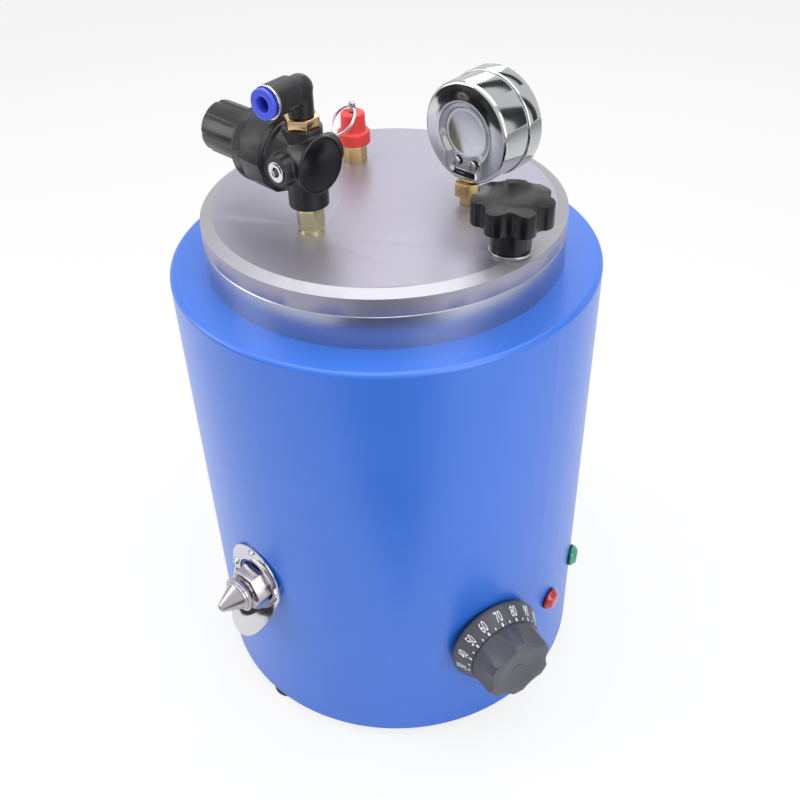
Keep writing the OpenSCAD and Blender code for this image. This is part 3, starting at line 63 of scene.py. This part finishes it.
# The case: a tall shell rolled from 1.5 mm steel sheet, turned in over the pot's flange and under the
# base, and dipped in one coat of blue stove enamel. Every surface gets its finish from these functions.
MM = 0.001


def colour(code):
    """An sRGB hex colour as the linear values that the shaders take."""
    parts = [int(code[i:i + 2], 16) / 255 for i in (1, 3, 5)]
    return [c / 12.92 if c <= 0.04045 else ((c + 0.055) / 1.055) ** 2.4 for c in parts] + [1]


def add_node(tree, kind, settings=None, links=None):
    """Adds a shader node: settings fill its fields or sockets, and links name what feeds which socket."""
    node = tree.nodes.new(kind)
    for key, value in (settings or {}).items():
        if isinstance(key, str) and hasattr(node, key):
            setattr(node, key, value)
        else:
            node.inputs[key].default_value = value
    for key, feed in (links or {}).items():
        tree.links.new(feed, node.inputs[key])
    return node


def start_finish(name, **look):
    """A new finish: the material, its tree, its one shader and the object's own coordinates."""
    material = bpy.data.materials.new(name)
    material.use_nodes = True
    tree = material.node_tree
    tree.nodes.clear()
    sockets = {key.replace("_", " ").title().replace("Ior", "IOR"): value for key, value in look.items()}
    shader = add_node(tree, "ShaderNodeBsdfPrincipled", sockets)
    add_node(tree, "ShaderNodeOutputMaterial", links={"Surface": shader.outputs[0]})
    place = add_node(tree, "ShaderNodeTexCoord").outputs["Object"]
    return material, tree, shader, place


def between(tree, feed, low, high):
    """Spreads a 0 to 1 pattern over a range of values."""
    spread = {"From Min": 0.3, "From Max": 0.7, "To Min": low, "To Max": high}
    return add_node(tree, "ShaderNodeMapRange", spread, {"Value": feed}).outputs[0]


def tinted(tree, feed, first, second):
    """Runs a pattern between two close shades of one colour."""
    ramp = add_node(tree, "ShaderNodeValToRGB", links={"Fac": feed})
    ramp.color_ramp.elements[0].position, ramp.color_ramp.elements[1].position = 0.3, 0.7
    ramp.color_ramp.elements[0].color, ramp.color_ramp.elements[1].color = colour(first), colour(second)
    return ramp.outputs["Color"]


def noise(tree, place, size, detail):
    """Clouds or grain of a size in millimetres, as values from 0 to 1."""
    return add_node(tree, "ShaderNodeTexNoise", {"Scale": 1 / (size * MM), "Detail": detail},
                    {"Vector": place}).outputs["Fac"]


def raised(tree, shader, pattern, strength, depth):
    """Lets a pattern stand out of the surface by a depth in millimetres."""
    bump = add_node(tree, "ShaderNodeBump", {"Strength": strength, "Distance": depth * MM},
                    {"Height": pattern})
    tree.links.new(bump.outputs[0], shader.inputs["Normal"])


def finish_of(material, *names):
    """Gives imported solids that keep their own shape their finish."""
    for name in names:
        solids[name].data.materials.clear()
        solids[name].data.materials.append(material)


# Stove enamel is a thick baked paint: satin, with a faint orange peel about 2 mm across.
cloud_size, peel_size, peel_depth = 40, 2, 0.05
enamel, tree, shader, place = start_finish("stove_enamel_satin_blue", roughness=0.34, coat_weight=0.35,
                                           coat_roughness=0.28)
cloud = noise(tree, place, cloud_size, detail=3)
tree.links.new(tinted(tree, cloud, "#2767CE", "#2B6BD2"), shader.inputs["Base Color"])
tree.links.new(between(tree, cloud, 0.33, 0.36), shader.inputs["Roughness"])
raised(tree, shader, noise(tree, place, peel_size, detail=2), strength=0.12, depth=peel_depth)
finish_of(enamel, "outer_case")

# The base: a zinc-plated steel plate that lies on the case's turned-in rim, and four rubber feet, each
# held with the plate by one screw from below. The screws, the pot's own screws and the heater's steel
# are zinc-plated too, so they share one finish.
blotch_size, weld_gap, flat_angle = 9, 0.002, 0.6


def metal(name, shade, rough, streak=None, grain=1.2, depth=0.01, vary=0.08, metallic=1):
    """A bare or plated metal: faint blotches in its gloss, and a fine grain that can be drawn out one way."""
    material, tree, shader, place = start_finish(name, base_color=colour(shade), metallic=metallic,
                                                 roughness=rough)
    way = add_node(tree, "ShaderNodeMapping", {"Scale": streak or (1, 1, 1)}, {"Vector": place}).outputs[0]
    blotch = noise(tree, place, blotch_size, detail=4)
    tree.links.new(between(tree, blotch, rough * (1 - vary), rough * (1 + vary)), shader.inputs["Roughness"])
    raised(tree, shader, noise(tree, way, grain, detail=3), strength=0.25, depth=depth)
    return material


def take_up(piece):
    """Selects one piece alone, ready for the next tool."""
    bpy.ops.object.select_all(action="DESELECT")
    bpy.context.view_layer.objects.active = piece
    piece.select_set(True)


def clean_copy(node, name):
    """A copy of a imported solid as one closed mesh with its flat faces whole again, to be shaped further."""
    piece = bpy.data.objects.new(name, solids[node].data.copy())
    bpy.context.scene.collection.objects.link(piece)
    take_up(piece)
    bpy.ops.mesh.customdata_custom_splitnormals_clear()
    bpy.ops.object.mode_set(mode="EDIT")
    bpy.ops.mesh.select_all(action="SELECT")
    bpy.ops.mesh.remove_doubles(threshold=weld_gap * MM)
    bpy.ops.mesh.dissolve_limited(angle_limit=math.radians(flat_angle))
    bpy.ops.object.mode_set(mode="OBJECT")
    return piece


def apply_modifier(piece, kind, **settings):
    """Adds one modifier to a piece and applies it."""
    take_up(piece)
    modifier = piece.modifiers.new(kind, kind)
    for key, value in settings.items():
        setattr(modifier, key, value)
    bpy.ops.object.modifier_apply(modifier=modifier.name)


def smooth_by_angle(piece, angle=32):
    """Shades a piece smooth but for its sharp edges."""
    take_up(piece)
    bpy.ops.object.shade_smooth_by_angle(angle=math.radians(angle))


def round_edges(piece, edge, angle=34):
    """Rounds a piece's sharp edges over a width in millimetres."""
    apply_modifier(piece, "BEVEL", width=edge * MM, segments=3, limit_method="ANGLE",
                   angle_limit=math.radians(angle), use_clamp_overlap=True, harden_normals=False)
    smooth_by_angle(piece)


def stand_in(piece, node, material):
    """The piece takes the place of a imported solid, on its body, in its finish."""
    piece.data.materials.clear()
    piece.data.materials.append(material)
    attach(piece, solids[node]["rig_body"])
    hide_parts(node)


def softened(node, material, edge, angle=34):
    """A solid's own form with the rounded edges that the real piece has."""
    piece = clean_copy(node, node + "_shaped")
    round_edges(piece, edge, angle)
    stand_in(piece, node, material)
    return piece


# Zinc plating on steel is grey with a faint grain; rubber is matt, with a bloom and a moulded grain.
zinc = metal("zinc_plated_steel", "#A9AAAE", rough=0.32)
finish_of(zinc, "base_plate", "foot_screws", "flange_screws", "heater_band", "thermostat_spindle",
          "nozzle_spring", "regulator_spring", "valve_spring", "regulator_screw", "nozzle_needle",
          "knob_stud")
haze_size = 14


def moulded(name, shade, other, rough, grain=0.6, depth=0.02, **look):
    """A moulded plastic or rubber: two close shades in clouds, and the fine grain of its mould."""
    material, tree, shader, place = start_finish(name, roughness=rough, **look)
    haze = noise(tree, place, haze_size, detail=4)
    tree.links.new(tinted(tree, haze, shade, other), shader.inputs["Base Color"])
    tree.links.new(between(tree, haze, rough * 0.88, rough * 1.12), shader.inputs["Roughness"])
    raised(tree, shader, noise(tree, place, grain, detail=3), strength=0.3, depth=depth)
    return material


rubber = moulded("moulded_black_rubber", "#2A2A2C", "#333335", rough=0.62, grain=0.5, depth=0.04)
softened("rubber_feet", rubber, edge=0.6)
finish_of(rubber, "regulator_diaphragm")

# The pot: one aluminium casting with its flange turned and its outside left as cast, screwed down on
# the case. Round it a steel-clad heater band, and a sleeve of ceramic fibre that keeps the case cool.
turned_alu = metal("turned_aluminium", "#B4B5BE", rough=0.3, streak=(1, 1, 12), grain=0.9)
finish_of(turned_alu, "wax_pot")
wool = moulded("ceramic_fibre_wool", "#E2DED2", "#D3CDBE", rough=0.95, grain=1.6, depth=0.5)
finish_of(wool, "insulation_sleeve")

# The thermostat behind the case: a box moulded from brown phenolic, and a copper bulb and thin tube.
phenolic = moulded("moulded_brown_phenolic", "#4A2F22", "#573828", rough=0.4)
softened("thermostat_body", phenolic, edge=0.8)
copper = metal("drawn_copper", "#B87548", rough=0.28, streak=(1, 1, 0.2))
finish_of(copper, "thermostat_sensor")

# The mains inlet at the back: a black moulded socket with three brass pins, held by two screws.
nylon = moulded("moulded_black_nylon", "#1A1A1D", "#1F1F22", rough=0.3, grain=0.5, specular_ior_level=0.38)
softened("power_inlet", nylon, edge=0.7)
brass = metal("machined_brass", "#D2B67E", rough=0.27, grain=0.8)
softened("inlet_pins", brass, edge=0.4)
softened("inlet_screws", zinc, edge=0.25)

# Two neon lamps clipped in the case, their lenses moulded from clear red and green acrylic with a
# faceted dome, over black threaded bodies.
flow_size = 3


def lens_acrylic(name, shade, glow):
    """Clear coloured acrylic: glossy, see-through in its own colour, with faint flow marks and a faint
    painted glow in its own colour.
    """
    material, tree, shader, place = start_finish(name, base_color=colour(shade), roughness=0.1, ior=1.49,
                                                 transmission_weight=0.35, emission_color=colour(glow),
                                                 emission_strength=0.12, coat_weight=0.6)
    flow = noise(tree, place, flow_size, detail=3)
    tree.links.new(between(tree, flow, 0.06, 0.14), shader.inputs["Roughness"])
    return material


# Each lens gets a faint painted glow in its own colour, standing in for the light that the acrylic lets
# through.
red_acrylic = lens_acrylic("moulded_red_acrylic", "#B5152B", "#C01830")
green_acrylic = lens_acrylic("moulded_green_acrylic", "#17A673", "#12A070")
softened("lamp_bodies", nylon, edge=0.2)
softened("red_lamp_lens", red_acrylic, edge=1.0, angle=20)
softened("green_lamp_lens", green_acrylic, edge=1.0, angle=20)

# The nozzle: a hexagonal valve body and a spring-loaded nozzle with a collar and a cone, turned from
# brass and plated with nickel. Its bright turning marks run round the axis.
nickel = metal("nickel_plated_brass", "#B0ABAE", rough=0.24, streak=(0.3, 8, 0.3), grain=0.7)
softened("nozzle_valve_body", nickel, edge=0.5)
softened("nozzle_tip", nickel, edge=0.25)

# The guard round the nozzle: a plate punched from polished stainless sheet, its lower part bent out to
# catch drips, on three small screws.
stainless = metal("polished_stainless_sheet", "#C9C8CC", rough=0.09, grain=2.5, depth=0.006)
softened("nozzle_plate", stainless, edge=0.3, angle=20)
softened("guard_screws", stainless, edge=0.2)

# The thermostat's dial: a skirt and a grip moulded from dark grey ABS, the numbers and dots of the
# skirt stamped with white foil. It turns on the thermostat's steel spindle.
abs_grey = moulded("moulded_dark_grey_abs", "#45454D", "#4C4C55", rough=0.42, grain=0.45, depth=0.02)
softened("thermostat_skirt", abs_grey, edge=0.5)
softened("thermostat_knob", abs_grey, edge=1.2)

# White foil stamped on the skirt's cone: a number at every ten degrees, a large dot below it and a small
# dot between. The scale's turn for one degree and the place of 70 come from the photograph.
foil = moulded("hot_stamped_white_foil", "#EDEDEE", "#E4E4E6", rough=0.45, grain=0.4, depth=0.005)
low_corner, high_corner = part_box("thermostat_skirt")
dial_z, dial_back, dial_turn = (low_corner.z + high_corner.z) / 2 / MM, 131.8, math.radians(-17.8)
dial_ahead = Vector((math.cos(dial_turn), math.sin(dial_turn), 0))
dial_right = Vector((-math.sin(dial_turn), math.cos(dial_turn), 0))
rim_reach, rim_lift, top_reach, top_lift = 31.5, 2.4, 25.8, 13.2
number_reach, number_h, number_t = 28.9, 4.7, 0.07
dot_reach, large_dot_r, small_dot_r, dot_t, dot_edge, dot_rise = 26.4, 0.62, 0.42, 0.05, 0.08, 0.03
first_mark, last_mark, mark_step, number_step = 30, 100, 5, 10
known_mark, known_turn, degree_turn = 70, 94, -2.32


def lay_on_skirt(piece, reach, turn):
    """Wraps a flat mark, drawn in millimetres about its middle, on the skirt's cone."""
    for vertex in piece.data.vertices:
        out = reach + vertex.co.y
        angle = math.radians(turn) - vertex.co.x / reach
        lift = rim_lift + (rim_reach - out) / (rim_reach - top_reach) * (top_lift - rim_lift) + vertex.co.z
        vertex.co = MM * ((dial_back + lift) * dial_ahead + out * math.cos(angle) * dial_right
                          + Vector((0, 0, dial_z + out * math.sin(angle))))


marks = []
for degrees in range(first_mark, last_mark + 1, mark_step):
    turn = known_turn + (degrees - known_mark) * degree_turn
    numbered = degrees % number_step == 0
    bpy.ops.object.select_all(action="DESELECT")
    bpy.ops.mesh.primitive_circle_add(vertices=20, radius=large_dot_r if numbered else small_dot_r,
                                      fill_type="NGON")
    dot = bpy.context.object
    bpy.ops.object.mode_set(mode="EDIT")
    bpy.ops.mesh.extrude_region_move(TRANSFORM_OT_translate={"value": (0, 0, dot_t)})
    bpy.ops.mesh.inset(thickness=dot_edge, depth=dot_rise)
    bpy.ops.object.mode_set(mode="OBJECT")
    lay_on_skirt(dot, dot_reach, turn)
    marks.append(dot)
    if numbered:
        bpy.ops.object.select_all(action="DESELECT")
        bpy.ops.object.text_add()
        word = bpy.context.object
        word.data.body, word.data.size = str(degrees), number_h
        word.data.align_x, word.data.align_y, word.data.extrude = "CENTER", "CENTER", number_t
        bpy.ops.object.convert(target="MESH")
        lay_on_skirt(word, number_reach, turn)
        marks.append(word)
bpy.ops.object.select_all(action="DESELECT")
for mark in marks:
    mark.select_set(True)
bpy.context.view_layer.objects.active = marks[0]
bpy.ops.object.join()
marks[0].name = "skirt_scale"
marks[0].data.materials.append(foil)
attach(marks[0], solids["thermostat_skirt"]["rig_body"])

# A small plain disc let into the grip's dished front.
bpy.ops.object.select_all(action="DESELECT")
disc_ahead, disc_r, disc_t, disc_rim, disc_hollow = 160.7, 3.6, 0.5, 0.6, 0.15
bpy.ops.mesh.primitive_cylinder_add(vertices=48, radius=disc_r * MM, depth=disc_t * MM,
                                    location=MM * (disc_ahead * dial_ahead + Vector((0, 0, dial_z))),
                                    rotation=(0, math.radians(90), dial_turn))
grip_disc = bpy.context.object
grip_disc.name = "grip_disc"
bpy.ops.object.transform_apply(location=True, rotation=True, scale=True)
bpy.ops.object.mode_set(mode="EDIT")
bpy.ops.mesh.select_all(action="DESELECT")
bpy.ops.object.mode_set(mode="OBJECT")
for face in grip_disc.data.polygons:
    face.select = face.normal.dot(dial_ahead) > 0.9
bpy.ops.object.mode_set(mode="EDIT")
bpy.ops.mesh.inset(thickness=disc_rim * MM, depth=-disc_hollow * MM)
bpy.ops.object.mode_set(mode="OBJECT")
round_edges(grip_disc, edge=0.08)
grip_disc.data.materials.append(abs_grey)
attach(grip_disc, solids["thermostat_knob"]["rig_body"])

# The lid: turned from aluminium plate, blasted to a soft satin and bevelled bright round its top. A
# ring of red silicone seals it on the flange.
satin_alu = metal("blasted_aluminium", "#A29FAD", rough=0.42, grain=0.5, depth=0.012, vary=0.03, metallic=0.8)
bright_alu = metal("fine_turned_aluminium", "#A5A4AB", rough=0.42, streak=(1, 1, 12), grain=0.8, depth=0.008,
                   vary=0.04, metallic=0.6)
lid_top_z, bevel_h, bevel_low_share, bevel_high_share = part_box("lid")[1].z, 4, 0.8, 0.985
lid_plate = softened("lid", satin_alu, edge=0.35, angle=15)
lid_plate.data.materials.append(bright_alu)
for face in lid_plate.data.polygons:
    slanted = bevel_low_share < face.normal.z < bevel_high_share
    if slanted and face.center.z > lid_top_z - bevel_h * MM:
        face.material_index = 1
silicone = moulded("moulded_red_silicone", "#A63A34", "#B0443D", rough=0.5)
finish_of(silicone, "lid_gasket")

# The star knob that locks the lid: gloss black phenolic on a steel stud, over a bright washer.
gloss_black = moulded("moulded_gloss_black_phenolic", "#0B0B0D", "#0F0F11", rough=0.26, grain=1.5,
                      depth=0.006, specular_ior_level=0.32)
softened("knob_washer", nickel, edge=0.3)
softened("lid_knob", gloss_black, edge=1.3)

# The air regulator: a nylon body and bonnet on a nipple plated with yellow zinc.
yellow_zinc = metal("yellow_zinc_plated_steel", "#DFD5A6", rough=0.13, grain=1.0)
softened("regulator_nipple", yellow_zinc, edge=0.5)


def cast_smooth(node, material, voxel, passes):
    """A solid's form with the flowing corners of a moulding, where one shape runs into the next."""
    piece = clean_copy(node, node + "_shaped")
    apply_modifier(piece, "REMESH", mode="VOXEL", voxel_size=voxel * MM, use_smooth_shade=True)
    apply_modifier(piece, "SMOOTH", factor=0.5, iterations=passes)
    stand_in(piece, node, material)


cast_smooth("regulator_body", nylon, voxel=0.42, passes=7)
softened("regulator_plugs", stainless, edge=0.4)
label = moulded("gloss_black_label_film", "#101012", "#141416", rough=0.16, grain=2, depth=0.004)
softened("regulator_end_cap", label, edge=0.3)
softened("regulator_bonnet", nylon, edge=0.6, angle=20)
softened("regulator_lock_ring", nylon, edge=0.15)
softened("regulator_knob", nylon, edge=0.9)
finish_of(brass, "regulator_poppet")

# The push-in elbow: a nylon barrel that turns on a plated adapter, a thin steel ring and the blue
# collet that lets the hose go.
acetal = moulded("moulded_blue_acetal", "#3B4FD0", "#4055D8", rough=0.35)
warm_zinc = metal("warm_yellow_zinc_plating", "#D6B68C", rough=0.18, grain=1.0)
softened("elbow_adapter", warm_zinc, edge=0.5)
cast_smooth("elbow_body", nylon, voxel=0.4, passes=5)
softened("elbow_ring", stainless, edge=0.25)
softened("elbow_collet", acetal, edge=0.5)

# The safety valve: a brass base, a red moulded cap over its spring, a steel stem and the split ring
# that lifts it.
red_pp = moulded("moulded_red_polypropylene", "#E03A36", "#E6443F", rough=0.42, subsurface_weight=0.15,
                 subsurface_scale=0.004)
softened("valve_base", brass, edge=0.4)
softened("valve_cap", red_pp, edge=0.6)
softened("valve_stem", stainless, edge=0.3)
finish_of(stainless, "pull_ring")

# The gauge: a case and front ring pressed from stainless sheet and polished, on a brass socket that
# carries a curved tube, a toothed sector and a pointer behind a clear glass.
mirror_steel = metal("mirror_polished_stainless", "#BDC0C0", rough=0.09, grain=3, depth=0.004)
softened("gauge_socket", brass, edge=0.35)
# The case's back is pressed in the shape of a keyhole with broad, soft sides, and the ring round it is
# very slightly crowned. No operator presses a keyhole, so its skin is laid in rings about the axis.
low_corner, high_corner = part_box("gauge_case")
gauge_x, gauge_z = (low_corner.x + high_corner.x) / 2 / MM, (low_corner.z + high_corner.z) / 2 / MM
gauge_back, gauge_front = low_corner.y / MM, high_corner.y / MM
case_r, sheet_t, corner_r, corner_step = (high_corner.x - low_corner.x) / 2 / MM, 0.8, 2.2, 10
bulb_r, neck_half, neck_from, neck_down, neck_corner_r = 18.3, 12.8, 8, 26.2, 7
side_w, press_depth, hollow_r, hollow_depth = 4.6, 1.7, 13, 0.9
crown, crown_from_share, face_rings, spokes = 4.8, 0.68, 40, 240


def keyhole_depth(reach, turn):
    """How deep the press mark is at a distance from the axis, along a direction: 0 is straight down."""
    x, down = reach * math.sin(turn), reach * math.cos(turn)
    inside = bulb_r - reach
    if down > neck_from:
        past_side = max(abs(x) - (neck_half - neck_corner_r), 0)
        past_end = max(down - (neck_down - neck_corner_r), 0)
        inside = max(inside, neck_corner_r - math.hypot(past_side, past_end))
    share = min(max(inside / side_w, 0), 1)
    hollow = hollow_depth * max(1 - (reach / hollow_r) ** 2, 0)
    return press_depth * share * share * (3 - 2 * share) + hollow


def crown_lift(share):
    """How far the crowned back falls away at a share of the way from its middle to its rim."""
    return crown * max(share - crown_from_share, 0) ** 2


def gauge_ring(reach, lift, pressed):
    """One ring of points about the gauge's axis."""
    ring = []
    for step in range(spokes):
        turn = 2 * math.pi * step / spokes
        dish = keyhole_depth(reach, turn) if pressed else 0
        ring.append(Vector((gauge_x + reach * math.sin(turn), gauge_back + lift + dish,
                            gauge_z - reach * math.cos(turn))) * MM)
    return ring


rings = []
for inside in (0, 1):
    flat_r = case_r - corner_r
    skin = [gauge_ring(flat_r * i / face_rings, inside * sheet_t + crown_lift(i / face_rings), True)
            for i in range(1, face_rings + 1)]
    edge_lift, edge_r = crown_lift(1), corner_r - inside * sheet_t
    skin += [gauge_ring(flat_r + edge_r * math.sin(math.radians(a)),
                        edge_lift + corner_r - edge_r * math.cos(math.radians(a)), False)
             for a in range(corner_step, 90 + corner_step, corner_step)]
    skin.append(gauge_ring(case_r - inside * sheet_t, gauge_front - gauge_back, False))
    rings += skin if not inside else skin[::-1]
shell = bmesh.new()
grid = [[shell.verts.new(point) for point in ring] for ring in rings]
for first, second in zip(grid, grid[1:]):
    for i in range(spokes):
        shell.faces.new((first[i - 1], first[i], second[i], second[i - 1]))
shell.faces.new(grid[0])
shell.faces.new(grid[-1])
bmesh.ops.recalc_face_normals(shell, faces=shell.faces)
back_mesh = bpy.data.meshes.new("gauge_case_shaped")
shell.to_mesh(back_mesh)
shell.free()
gauge_shell = bpy.data.objects.new("gauge_case_shaped", back_mesh)
bpy.context.scene.collection.objects.link(gauge_shell)
smooth_by_angle(gauge_shell, angle=40)
stand_in(gauge_shell, "gauge_case", mirror_steel)
softened("gauge_bezel", mirror_steel, edge=0.5, angle=20)
softened("gauge_screws", nickel, edge=0.25)
finish_of(brass, "bourdon_tube", "gauge_sector")
card = moulded("printed_white_aluminium", "#F0F0EC", "#ECECE8", rough=0.5)
finish_of(card, "gauge_dial")
lacquer = moulded("black_lacquered_pointer", "#141416", "#1A1A1C", rough=0.4)
finish_of(lacquer, "gauge_pointer")
glass = start_finish("clear_float_glass", base_color=colour("#F4FAFA"), roughness=0.02, ior=1.5,
                     transmission_weight=1)[0]
finish_of(glass, "gauge_lens")

# The studio: a pale floor and a white surround, large soft lights at both sides and above and a weak one
# behind, and dark cards that only mirrors see, so that polished metal shows a studio's dark bands.
# Its sizes and places are in metres.
floor_size, floor_glow_share, fill_share, mirror_dim_share = 6, 0.8, 0.44, 0.16
bpy.ops.object.select_all(action="DESELECT")
bpy.ops.mesh.primitive_plane_add(size=floor_size)
floor = bpy.context.object
floor.name = "studio_floor"
floor_paint, tree, shader = start_finish("pale_studio_paper", base_color=colour("#F2F2F2"), roughness=0.9)[:3]
light_path = add_node(tree, "ShaderNodeLightPath")
white = add_node(tree, "ShaderNodeEmission", {"Color": (1, 1, 1, 1), "Strength": 1})
share = add_node(tree, "ShaderNodeMath", {"operation": "MULTIPLY", 1: floor_glow_share},
                 {0: light_path.outputs["Is Camera Ray"]})
seen = add_node(tree, "ShaderNodeMixShader",
                links={0: share.outputs[0], 1: shader.outputs[0], 2: white.outputs[0]})
output = next(n for n in tree.nodes if n.type == "OUTPUT_MATERIAL")
tree.links.new(seen.outputs[0], output.inputs["Surface"])
floor.data.materials.append(floor_paint)

world = bpy.data.worlds.new("white_surround")
bpy.context.scene.world = world
world.use_nodes = True
tree = world.node_tree
tree.nodes.clear()
light_path = add_node(tree, "ShaderNodeLightPath")
mirror_or_eye = add_node(tree, "ShaderNodeMath", {"operation": "MAXIMUM"},
                         {0: light_path.outputs["Is Camera Ray"], 1: light_path.outputs["Is Glossy Ray"]})
direct = add_node(tree, "ShaderNodeMath", {"operation": "MAXIMUM"},
                  {0: mirror_or_eye.outputs[0], 1: light_path.outputs["Is Transmission Ray"]})
dimmed = add_node(tree, "ShaderNodeMath", {"operation": "MULTIPLY", 1: mirror_dim_share},
                  {0: light_path.outputs["Is Glossy Ray"]})
shown = add_node(tree, "ShaderNodeMath", {"operation": "SUBTRACT"},
                 {0: direct.outputs[0], 1: dimmed.outputs[0]})
strength = add_node(tree, "ShaderNodeMapRange", {"To Min": fill_share, "To Max": 1},
                    {"Value": shown.outputs[0]})
surround = add_node(tree, "ShaderNodeBackground", {"Color": (1, 1, 1, 1)}, {"Strength": strength.outputs[0]})
add_node(tree, "ShaderNodeOutputWorld", links={"Surface": surround.outputs[0]})


def aim(thing, place, target):
    """Stands a light or a camera at one point and turns it to another."""
    thing.location = place
    thing.rotation_euler = (Vector(target) - Vector(place)).to_track_quat("-Z", "Y").to_euler()


def soft_light(name, place, target, width, height, watts):
    """A rectangular softbox."""
    lamp = bpy.data.lights.new(name, "AREA")
    lamp.shape, lamp.size, lamp.size_y, lamp.energy = "RECTANGLE", width, height, watts
    box = bpy.data.objects.new(name, lamp)
    bpy.context.scene.collection.objects.link(box)
    aim(box, place, target)


soft_light("left_softbox", (-0.9, -0.9, 0.75), (0, 0, 0.22), width=0.7, height=0.9, watts=6.5)
soft_light("right_softbox", (1.1, -0.2, 0.7), (0, 0, 0.2), width=0.7, height=0.9, watts=6)
soft_light("top_softbox", (0, 0.05, 1.35), (0, 0, 0.3), width=1.4, height=1.4, watts=14)
soft_light("rear_softbox", (-0.6, 0.78, 0.93), (0.05, 0, 0.35), width=0.4, height=0.4, watts=0.6)


def dark_card(name, place, target, width, height):
    """A black card beside the lights that shows only in mirror-like metal."""
    bpy.ops.object.select_all(action="DESELECT")
    bpy.ops.mesh.primitive_plane_add(size=1)
    card = bpy.context.object
    card.name = name
    card.scale = (width, height, 1)
    aim(card, place, target)
    card.data.materials.append(lacquer)
    card.visible_camera = card.visible_diffuse = card.visible_shadow = card.visible_transmission = False


gauge_at, card_reach = Vector((0.042, 0.027, 0.391)), 1.1
dark_card("rear_right_card", gauge_at + card_reach * Vector((0.634, 0.705, 0.318)), gauge_at,
          width=0.16, height=0.9)
dark_card("rear_top_card", gauge_at + card_reach * Vector((-0.203, 0.705, 0.679)), gauge_at,
          width=0.9, height=0.12)
dark_card("left_low_card", (-0.9, -1.3, 0.32), (0, 0, 0.3), width=0.5, height=0.25)
dark_card("lip_card", (-0.45, -0.8, 0.22), (0, -0.14, 0.09), width=0.5, height=0.42)
dark_card("far_floor_card", (0.58, -0.58, 0.002), (0.58, -0.58, 1), width=0.8, height=0.8)

# The camera: above the front right, at the photograph's own distance, tilt and lens. Its focal length
# and the point that its axis meets are in pixels of the photograph.
camera_data = bpy.data.cameras.new("photo_camera")
camera = bpy.data.objects.new("photo_camera", camera_data)
bpy.context.scene.collection.objects.link(camera)
distance, height, photo_px, focal_px, middle_x, middle_y = 523.56, 608.34, 800, 976.8, 396.1, 400.3
tilt, pan, lean = math.radians(38.141), math.radians(0.313), math.radians(-2.1055)
ahead = Vector((math.sin(pan) * math.cos(tilt), math.cos(pan) * math.cos(tilt), -math.sin(tilt)))
across = Vector((math.cos(pan), -math.sin(pan), 0))
over = across.cross(ahead)
side = math.cos(lean) * across + math.sin(lean) * over
upward = -math.sin(lean) * across + math.cos(lean) * over
turn = Matrix((side, upward, -ahead)).transposed().to_4x4()
camera.matrix_world = (Matrix.Rotation(math.radians(45), 4, "Z")
                       @ Matrix.Translation(Vector((0, -distance, height)) * MM) @ turn)
camera_data.sensor_width = 36
camera_data.lens = focal_px / photo_px * camera_data.sensor_width
camera_data.shift_x, camera_data.shift_y = 0.5 - middle_x / photo_px, middle_y / photo_px - 0.5
camera_data.clip_start, camera_data.clip_end = 0.05, 20
bpy.context.scene.camera = camera
bpy.context.scene.view_settings.view_transform = "Standard"
